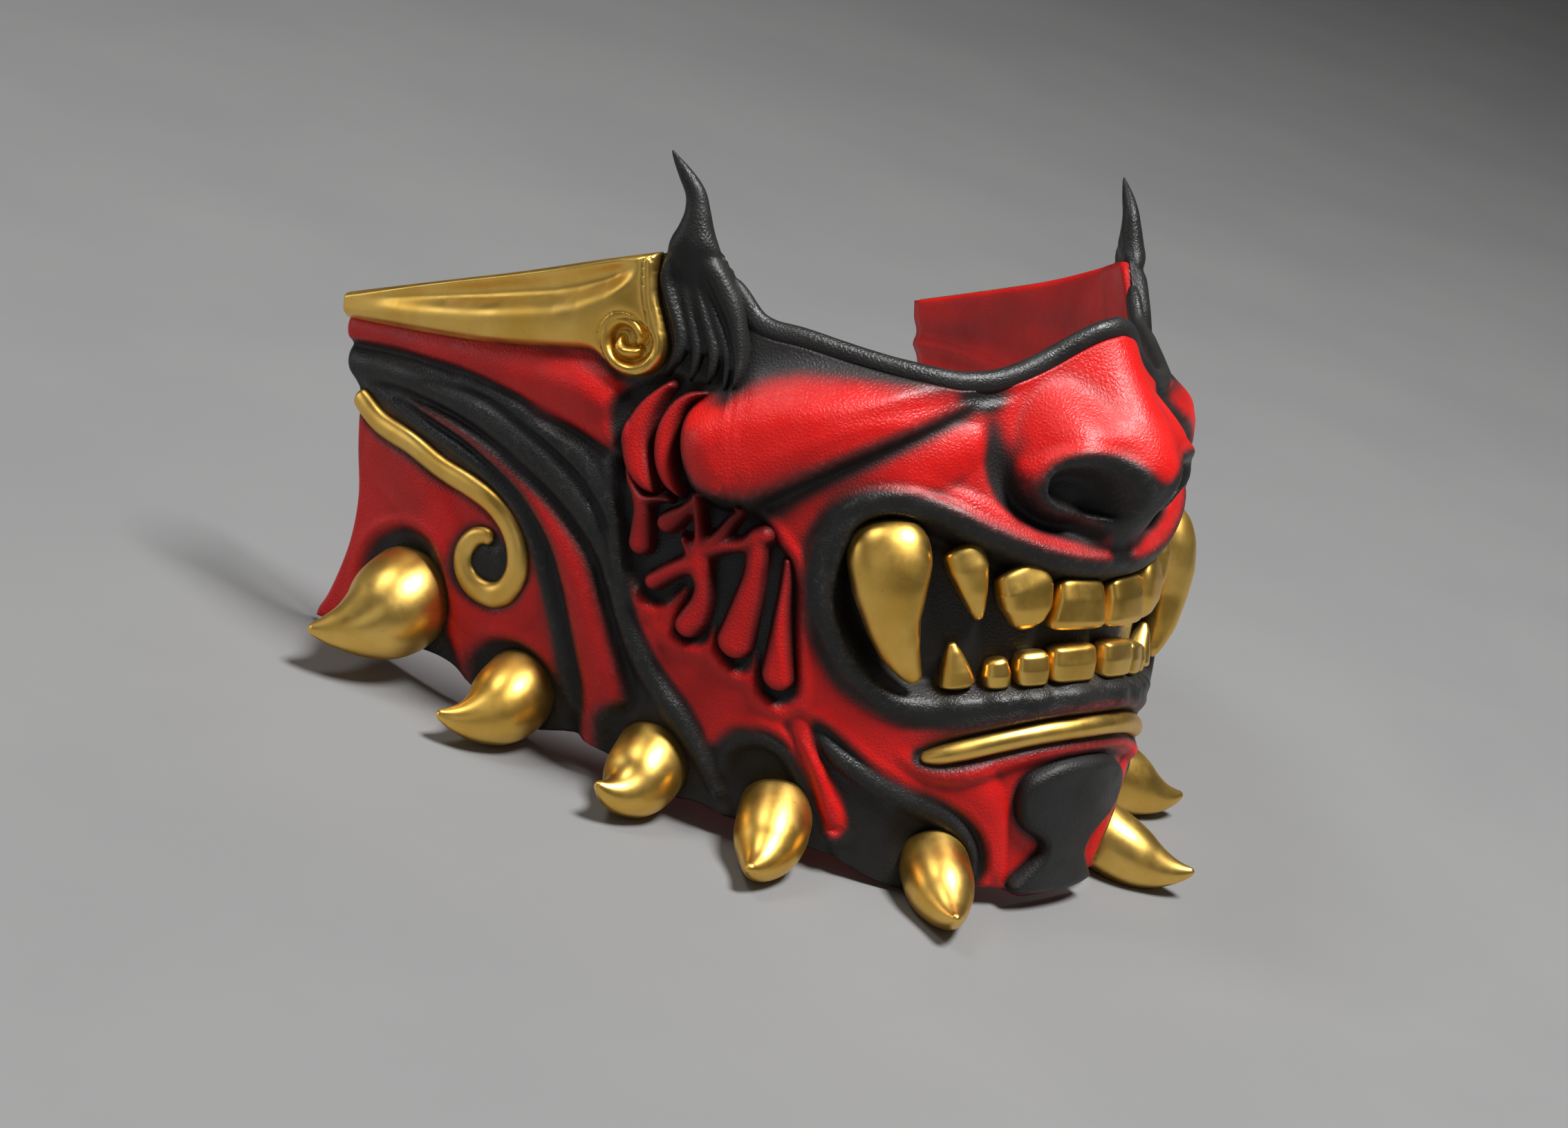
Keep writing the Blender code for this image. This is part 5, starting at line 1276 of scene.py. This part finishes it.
def raised(name, side, box, form, pitch=0.3, margin=0.95, bed=0.0022, crown=None):
    """Closed puffed piece over the box, in a grid of the given pitch.

    Form gives the distance outside its outline in steps and its rise in metres. The piece goes on
    past its outline by the margin, dipping into the wall, and a bed under the wall's surface
    closes it. A crown, where there is one, gives the height of its upper edge along the box.
    """
    left, right, low, high = box
    girth, height = np.meshgrid(np.arange(left, right, pitch), np.arange(low, high, pitch))
    if crown:
        height = low + (height - low) / (height.max() - low) * (crown(girth) - low)
    shape = girth.shape
    gap, rise = form(girth.ravel(), height.ravel())
    kept = (gap < margin).reshape(shape)
    cells = kept[:-1, :-1] & kept[1:, :-1] & kept[:-1, 1:] & kept[1:, 1:]
    cells = np.pad(cells, 1)
    used = np.flatnonzero(cells[:-1, :-1] | cells[1:, :-1] | cells[:-1, 1:] | cells[1:, 1:])
    number = np.full(girth.size, -1)
    number[used] = np.arange(len(used))
    number = number.reshape(shape)
    reach, up = girth.ravel()[used] * side, height.ravel()[used]
    over = np.where(gap < 0, rise, -DIP * gap)[used]
    points = np.vstack([face(reach, up, over), face(reach, up, -bed)])
    back = len(used)
    faces = []
    for r, c in zip(*np.nonzero(cells[1:-1, 1:-1])):
        ring = [number[r, c], number[r, c + 1], number[r + 1, c + 1], number[r + 1, c]]
        faces += [tuple(ring), tuple(back + i for i in reversed(ring))]
        beyond = (cells[r, c + 1], cells[r + 1, c + 2], cells[r + 2, c + 1], cells[r + 1, c])
        for k, filled in enumerate(beyond):
            if not filled:
                here, there = ring[k], ring[(k + 1) % 4]
                faces.append((there, here, back + here, back + there))
    item = outward_faces(piece(name, points, faces))
    keep_values(item.data, "puff", np.concatenate([np.clip(-gap[used], 0, None), np.zeros(back)]))
    return item


def around(paths):
    """Box round some paths, in steps."""
    margin = 1.6
    rows = np.vstack([np.array(path, float)[:, :3] for path in paths])
    wide = rows[:, 2] + margin
    return ((rows[:, 0] - wide).min(), (rows[:, 0] + wide).max(),
            (rows[:, 1] - wide).min(), (rows[:, 1] + wide).max())


def puffed_runs(name, side, branches, shade_span):
    """Runs of paint that flow together, puffed up over the wall, with painted shade between two
    heights.
    """
    def form(girth, height):
        gap = smooth_least([path_gap(girth, height, np.array(rows))[0] for rows in branches])
        section = PUFF_STEEP * dome(gap, PUFF_EDGE[0]) + (1 - PUFF_STEEP) * dome(gap, PUFF_EDGE[1])
        fade = PUFF_SUNK + (1 - PUFF_SUNK) * ramp(girth, *PUFF_FADE)
        return gap, PUFF_RISE * section * fade

    item = raised(name, side, around(branches), form)
    puff, points = read_values(item.data, "puff"), np.empty(3 * len(item.data.vertices), np.float32)
    item.data.vertices.foreach_get("co", points)
    height = ((points.reshape(-1, 3) - REST_SHIFT) @ REST_ROTATION)[:, 2] / STEP
    # painted shade: the runs darken between the two heights
    puff *= 1 - 0.5 * ramp(height, *shade_span)
    item.data.attributes["puff"].data.foreach_set("value", puff.astype(np.float32))
    return item


def ridge_over(girth, height, rows, top, full):
    """Rise of a ridge along a path, less where its half width is under the full one, and its gap."""
    apart, half, _ = path_gap(girth, height, np.array(rows))
    return top * np.clip(half / full, 0, 1) ** 0.5 * dome(apart, half), apart


def horn_root(side):
    """Low leaf with the ridges and fingers that grow down from the horn."""
    def form(girth, height):
        gap = region_gap(girth, height, ROOT_LEAF)
        rise = np.where(gap < 0, LEAF_RISE * dome(gap, 1.2), -DIP * gap)
        grown = ROOT_LEAST + (1 - ROOT_LEAST) * ramp(height, *ROOT_GROWTH)
        for top, rows in ROOT_RIDGES:
            ridge, apart = ridge_over(girth, height, rows, top / 1000, 1.3)
            rise = np.maximum(rise, np.where(apart < 0, ridge * grown, -DIP * apart))
            gap = np.minimum(gap, apart)
        return gap, rise

    return raised("root", side, around([rows for _, rows in ROOT_RIDGES]), form, 0.32, bed=0.0018)


def horn(side, label, wall_sides):
    """Temple horn growing out of its ridged root."""
    rows = flowing([(across, up * HORN_STEPS, half) for across, up, half in HORN], steps=8)
    rows, _ = spread(rows, 70)
    top = table(TOP_EDGE, rows[:, 0])
    up = rows[:, 1] / HORN_STEPS
    height = top + up * HORN_HEIGHT / STEP
    girth = rows[:, 0] * side
    normals = outward(girth, height)
    centres = face(girth, np.minimum(height, top)) * (1, 1, 0)
    centres[:, 2] = height * STEP
    size = np.clip(rows[:, 2], 0.02, None) * HORN_HALF
    stem = bar("stem", centres, normals, size, size * straight(HORN_DEPTH, up), 28)
    parts = [stem, horn_root(side)]
    for part in parts:
        held_in(part, *wall_sides)
    return joined("horn_and_root_" + label, parts, 0.00036, 16)


def temple_plate(side, label):
    """Gilt plate with a bright ridge, a hollow above it, and a volute at its front."""
    def crown(girth):
        return table(TOP_EDGE, girth) + 0.3

    def form(girth, height):
        gap = region_gap(girth, height, PLATE_OUTLINE)
        crest, foot = straight(PLATE_RIDGE, girth), straight(PLATE_FOOT, girth)
        head = crown(girth)
        above = np.clip((height - crest) / np.clip(head - crest, 0.8, None), 0, 1)
        below = np.clip((crest - height) / (crest - foot), 0, 1)
        open_part = ramp(girth, 100, 107) * ramp(girth, 180, 140)
        hollow = 0.66 * open_part * np.sin(math.pi * above ** 1.3) ** 2
        slope = 0.6 * below ** 2 * ramp(girth, 104, 112)
        from_eye = np.hypot(girth - VOLUTE_DISC["round"], height - VOLUTE_DISC["up"])
        disc = eased((VOLUTE_DISC["radius"] - from_eye) / VOLUTE_DISC["edge"])
        edge = 0.12 + 0.88 * dome(height - head, 1.4)
        rise = PLATE_RISE * dome(gap, 1.8) * edge * (1 - hollow - slope)
        rise = rise * (1 - VOLUTE_DISC["sunk"] * disc)
        for rows in (VOLUTE, VOLUTE_EYE):
            curl, apart = ridge_over(girth, height, rows, VOLUTE_RISE, 1.5)
            groove = rise - 0.0006 * np.exp(-apart / 0.5)
            rise = np.where(apart < 0, np.maximum(rise, curl), groove)
        return gap, rise

    return raised("temple_gilding_" + label, side, (94.5, 185.4, 112.8, 140), form, 0.28,
                  0.35, 0.0012, crown)


def beard_patch():
    """Domed black patch on the chin, narrow at its middle."""
    def form(girth, height):
        gap = region_gap(np.abs(girth), height, CHIN_PATCH)
        return gap, PATCH_RISE * dome(gap, 2.6)

    return raised("beard_patch", 1, (-26.2, 26.4, 1.4, 34.8), form)


def spike(side, name, row):
    """Gilt spike: round at its seat, hanging a little, bending out to a small rounded point."""
    girth, height, tip_round, tip_up, tip_out, thickness, sag = row
    seat = face([girth * side], [height])[0]
    normal = outward([girth * side], [height])[0]
    level = np.cross((0, 0, 1), normal)
    level *= side / np.linalg.norm(level)
    upward = np.cross(normal, level) * side
    tip = seat + (level * tip_round + upward * tip_up + normal * tip_out) * SPIKE_REACH
    start = seat - normal * WALL / 2
    middle = seat + (normal * SPIKE_BELLY - upward * sag) * SPIKE_REACH
    # the rings crowd towards the tip
    close = 1 - 0.07 * (1 - np.linspace(0.1, 1, 12)) ** 1.6
    share = np.concatenate([[-0.05], np.linspace(-0.04, 0.93, 44), close])
    profile = flowing(SPIKE_PROFILE, steps=6)
    size = np.interp(share, profile[:, 0], profile[:, 1])
    into_tip = ((share - SPIKE_TIP[0]) / SPIKE_TIP[1]).clip(0, 1)
    cap = np.sqrt(np.clip(1 - into_tip ** 2, 0, 1))
    size = size * cap * thickness * SPIKE_HALF + 1e-6
    t = share[:, None]
    centres = start * (1 - t) ** 2 + middle * 2 * t * (1 - t) + tip * t ** 2
    item = bar(name, centres, np.broadcast_to(upward, centres.shape), size, size, 32)
    inward = Vector(REST_ROTATION @ normal)
    seat_at_rest = Vector(REST_ROTATION @ seat + REST_SHIFT)
    for vertex in item.data.vertices:
        sunk = (seat_at_rest - vertex.co).dot(inward) - SPIKE_SUNK
        if sunk > 0:
            vertex.co += inward * sunk
        vertex.co.z = max(vertex.co.z, FLOOR_GAP)
    return item


def tooth(side, name, rows, half, squareness, smoothing):
    """One tooth from sections down its length, its edges softened."""
    rows, _ = spread(rows, 30)
    girth, height = rows[:, 0] * side, rows[:, 1]
    normals = outward(girth, height)
    centres = wall(girth, height) + normals * (rows[:, 4] * TOOTH_DEPTH)[:, None]
    item = bar(name, centres, normals, rows[:, 2] * half, rows[:, 3] * half, 28, squareness)
    return soften(item, smoothing)


# ---------------------------------------------------------------- finishes
class Finish:
    """A material under construction: its nodes and its shader."""

    def __init__(self, name, **sockets):
        self.material = bpy.data.materials.new(name)
        self.material.use_nodes = True
        self.tree = self.material.node_tree
        self.shader = self.tree.nodes["Principled BSDF"]
        for socket, number in sockets.items():
            self.shader.inputs[socket.replace("_", " ")].default_value = number

    def node(self, kind, inputs=None, **settings):
        return add_node(self.tree, kind, inputs, **settings)

    def place(self):
        """Where the point is on the mask."""
        return self.node("ShaderNodeTexCoord").outputs["Object"]

    def noise(self, scale, detail=3.0, roughness=0.5):
        inputs = {"Vector": self.place(), "Scale": scale, "Detail": detail, "Roughness": roughness}
        return self.node("ShaderNodeTexNoise", inputs).outputs["Fac"]

    def kept(self, name):
        """A value kept on the piece's points."""
        return self.node("ShaderNodeAttribute", attribute_name=name).outputs["Fac"]

    def fitted(self, source, low, high, to_low=0.0, to_high=1.0):
        """The source's range from low to high, smoothly fitted to another range."""
        inputs = {"Value": source, "From Min": low, "From Max": high, "To Min": to_low,
                  "To Max": to_high}
        made = self.node("ShaderNodeMapRange", inputs, interpolation_type="SMOOTHSTEP")
        return made.outputs["Result"]

    def cloudy(self, low, high, *noise):
        """Noise fitted to run from 0 at low to 1 at high."""
        return self.fitted(self.noise(*noise), low, high)

    def reckoned(self, operation, first, second):
        made = self.node("ShaderNodeMath", {0: first, 1: second}, operation=operation)
        return made.outputs["Value"]

    def times(self, first, second):
        return self.reckoned("MULTIPLY", first, second)

    def mixed(self, share, first, second):
        """Colour between two, each of them a socket or a plain colour."""
        colours = (source if isinstance(source, bpy.types.NodeSocket) else (*source, 1)
                   for source in (first, second))
        inputs = dict(zip((0, 6, 7), (share, *colours)))
        return self.node("ShaderNodeMix", inputs, data_type="RGBA").outputs[2]

    def wire(self, source, socket):
        self.tree.links.new(source, self.shader.inputs[socket])

    def bumps(self, *layers):
        """Bump nodes one after another: height, strength, distance in metres."""
        normal = None
        for height, strength, distance in layers:
            inputs = {"Height": height, "Strength": strength, "Distance": distance}
            if normal is not None:
                inputs["Normal"] = normal
            normal = self.node("ShaderNodeBump", inputs).outputs["Normal"]
        self.wire(normal, "Normal")

    def grain(self, scale):
        """Leather grain: small rounded cells with fine creases between them."""
        wander = self.noise(scale * 0.4, 2.0)
        moved = self.node("ShaderNodeVectorMath", {0: self.place()}, operation="ADD")
        push = self.node("ShaderNodeVectorMath", {0: wander, "Scale": 0.0006}, operation="SCALE")
        self.tree.links.new(push.outputs["Vector"], moved.inputs[1])
        inputs = {"Vector": moved.outputs["Vector"], "Scale": scale}
        cells = self.node("ShaderNodeTexVoronoi", inputs, feature="DISTANCE_TO_EDGE")
        return self.fitted(cells.outputs["Distance"], 0.0, 0.35)


def leather(name, whole=None):
    """Lacquered leather, red or black by the value kept on its points, or all of one tone."""
    finish = Finish(name, Coat_Weight=0.08, Coat_Roughness=0.35, Specular_IOR_Level=0.33)
    red = finish.mixed(finish.cloudy(0.3, 0.7, 55.0, 4.0), *RED)
    black = finish.mixed(finish.cloudy(0.3, 0.7, 90.0), *BLACK)
    fleck = finish.noise(700.0, 3.0, 0.65)
    share = whole
    if whole is None:
        spray = finish.times(finish.reckoned("SUBTRACT", fleck, 0.5), 0.22)
        share = finish.fitted(finish.reckoned("ADD", finish.kept("red"), spray), 0.04, 0.96)
    # painted shade: darker in the wall's hollows (there also airbrushed dark) and where pieces meet
    # it
    crease = finish.kept("crease")
    # painted highlight: lighter speckled colour on the crests
    crest_glint = finish.times(finish.kept("crest"), finish.fitted(fleck, 0.5, 0.72))
    colour = finish.mixed(share, black, red)
    colour = finish.mixed(finish.times(crease, 0.93), colour, SHADE_AND_AIRBRUSH_DARK)
    # colour of the painted highlight on the crests
    worn = finish.mixed(share, *CREST_HIGHLIGHT)
    colour = finish.mixed(finish.times(crest_glint, 0.4), colour, worn)
    finish.wire(colour, "Base Color")
    rough = finish.fitted(finish.noise(160.0), 0.3, 0.7, 0.36, 0.5)
    rough = finish.reckoned("ADD", rough, finish.times(crease, 0.2))
    finish.wire(rough, "Roughness")
    finish.bumps((finish.noise(120.0, 2.0), 0.25, 0.0004), (finish.grain(1150.0), 0.42, 0.00012),
                 (fleck, 0.22, 0.0001))
    return finish.material


def gilt(name):
    """Satin gilding: brushed unevenness, small dents and painted brown shade where it meets the
    wall.
    """
    finish = Finish(name, Metallic=1.0, Specular_IOR_Level=0.5)
    colour = finish.mixed(finish.cloudy(0.3, 0.72, 70.0, 4.0, 0.6), *GOLD)
    # painted shade: darker brown where the gilding meets the wall
    seat_shade = finish.times(finish.kept("seat"), finish.cloudy(0.25, 0.6, 260.0))
    colour = finish.mixed(finish.times(seat_shade, 0.75), colour, GOLD_SEAT_SHADE)
    speck = finish.cloudy(0.66, 0.78, 900.0, 2.0, 0.7)
    colour = finish.mixed(finish.times(speck, 0.35), colour, GOLD_SPECK)
    finish.wire(colour, "Base Color")
    rough = finish.fitted(finish.noise(110.0, 4.0, 0.6), 0.28, 0.75, 0.31, 0.45)
    rough = finish.reckoned("ADD", rough, finish.times(seat_shade, 0.25))
    finish.wire(rough, "Roughness")
    finish.bumps((finish.noise(85.0, 2.0), 0.14, 0.0006), (finish.noise(520.0), 0.12, 0.00012))
    return finish.material


def floor_finish():
    """Plain pale paper."""
    finish = Finish("floor_paper", Roughness=0.75, Specular_IOR_Level=0.25)
    finish.wire(finish.mixed(finish.cloudy(0.3, 0.7, 9.0, 4.0), *PAPER), "Base Color")
    return finish.material


def nearness(item, tree):
    """How near each point is to the wall, from 1 on it to 0 a little way off."""
    near = np.empty(len(item.data.vertices), np.float32)
    for i, vertex in enumerate(item.data.vertices):
        distance = tree.find_nearest(vertex.co, SEAT_REACH)[3]
        near[i] = 0 if distance is None else 1 - distance / SEAT_REACH
    return near


def finished(item, node, slot, material, wall_sides):
    """Rides the mask, stands for its CAD node and takes its finish."""
    # the rim bead wraps the wall's edge, and the horn's parts were held in before they were joined
    if not node.startswith(("rim_roll", "temple_horn")):
        held_in(item, *wall_sides)
    near = nearness(item, wall_sides[0])
    keep_values(item.data, "seat", near)
    if slot != "gilt":
        # painted shade where the piece meets the wall, and towards the thin edges of puffed pieces
        crease = 0.75 * near ** 1.5
        if "puff" in item.data.attributes:
            puff = read_values(item.data, "puff")
            crease = np.maximum(crease, 0.95 * (1 - np.clip(puff / 2.1, 0, 1)) ** 1.2)
        keep_values(item.data, "crease", crease)
        keep_values(item.data, "crest", np.zeros(len(near)))
    item.data.materials.clear()
    item.data.materials.append(material)
    settle(item, node)


def settle(item, node):
    """The mask is one body, which every piece rides."""
    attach(item, "root")
    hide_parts(node)


# ---------------------------------------------------------------- the mask
def mask():
    """Every piece of the mask, each in its finish and in the place of its CAD node."""
    skin, gold = leather("wall_leather"), gilt("satin_gilt")
    red, black = leather("red_leather", 1.0), leather("black_leather", 0.0)
    slots = {"red_leather": red, "black_leather": black, "gilt": gold}
    sweep = sweep_tree()
    shell, inner_side = leather_wall()
    shell.data.materials.append(skin)
    settle(shell, "face_shell")
    wall_sides = (BVHTree.FromObject(shell, bpy.context.evaluated_depsgraph_get()), inner_side)

    def put(item, node, slot):
        finished(item, node, slot, slots[slot], wall_sides)

    put(rim_bead(sweep, black), "rim_roll", "black_leather")
    put(beard_patch(), "chin_patch", "black_leather")
    bar_rows = [(-across, up, half) for across, up, half in CHIN_BAR[:0:-1]] + CHIN_BAR
    put(wall_bar(sweep, "lip_bar", bar_rows, 1, LIP_BAR, gold), "chin_bar", "gilt")
    runs = (("gill_rear", "crescent_rear", [CRESCENT_REAR], GILL_SHADE),
            ("gill_front", "crescent_front", [CRESCENT_FRONT], GILL_SHADE),
            ("tail_run", "tail_drip", TAIL_DRIP, DRIP_SHADE),
            ("web_runs", "drip_web", DRIP_WEB, DRIP_SHADE))
    for label, side in SIDES.items():
        put(horn(side, label, wall_sides), f"temple_horn_{label}", "black_leather")
        put(temple_plate(side, label), f"temple_plate_{label}", "gilt")
        for name, node, rows, shade_span in runs:
            item = puffed_runs(f"{name}_{label}", side, rows, shade_span)
            put(item, f"{node}_{label}", "red_leather")
        item = wall_bar(sweep, f"hooked_bar_{label}", SIDE_SCROLL, side, HOOKED_BAR, gold)
        put(item, f"side_scroll_{label}", "gilt")
        for name, row in SPIKES.items():
            put(spike(side, f"claw_{name}_{label}", row), f"spike_{name}_{label}", "gilt")
        put(tooth(side, f"tusk_{label}", FANG, FANG_HALF, 2.2, 3), f"fang_{label}", "gilt")
        for node, rows in TEETH.items():
            square = 2.4 if node.endswith(("canine", "outer")) else 3.6
            name = node.replace("tooth", "bite") + "_" + label
            put(tooth(side, name, rows, TOOTH_HALF, square, 2), f"{node}_{label}", "gilt")


# ---------------------------------------------------------------- studio
def area_light(name, direction, distance, size, power):
    """Soft light that shines on the mask from a direction of the worn mask."""
    data = bpy.data.lights.new(name, "AREA")
    data.shape, data.size, data.energy = "DISK", size, power
    item = linked(name, data)
    away = REST.to_3x3() @ Vector(direction).normalized()
    item.location = Vector(LIGHT_AIM) + away * distance
    item.rotation_euler = (-away).to_track_quat("-Z", "Y").to_euler()


def studio():
    """Plain pale floor, soft lights and a dim, even sky."""
    corners = [(x * FLOOR_HALF, y * FLOOR_HALF, 0) for x, y in ((-1, -1), (1, -1), (1, 1), (-1, 1))]
    mesh = bpy.data.meshes.new("studio_floor")
    mesh.from_pydata(corners, [], [(0, 1, 2, 3)])
    mesh.materials.append(floor_finish())
    floor = linked("studio_floor", mesh)
    world = bpy.data.worlds.new("studio")
    world.use_nodes = True
    sky = world.node_tree.nodes["Background"].inputs
    sky["Color"].default_value = SKY
    sky["Strength"].default_value = SKY_STRENGTH
    bpy.context.scene.world = world
    bpy.context.scene.view_settings.view_transform = "Standard"
    for name, light in LIGHTS.items():
        area_light(name, *light)


def camera():
    """The photograph's place and angle to the mask, kept while the mask leans back."""
    turn, tip = math.radians(CAMERA_TURN), math.radians(CAMERA_TILT)
    level = math.cos(tip)
    ahead = Vector((math.sin(turn) * level, math.cos(turn) * level, -math.sin(tip)))
    right = Vector((math.cos(turn), -math.sin(turn), 0))
    upward = right.cross(ahead)
    data = bpy.data.cameras.new("studio_camera")
    data.lens, data.sensor_width = LENS, SENSOR
    item = linked("studio_camera", data)
    pose = Matrix((right, upward, -ahead)).transposed().to_4x4()
    item.matrix_world = REST @ Matrix.Translation(CAMERA_PLACE) @ pose
    bpy.context.scene.camera = item


camera()
mask()
studio()
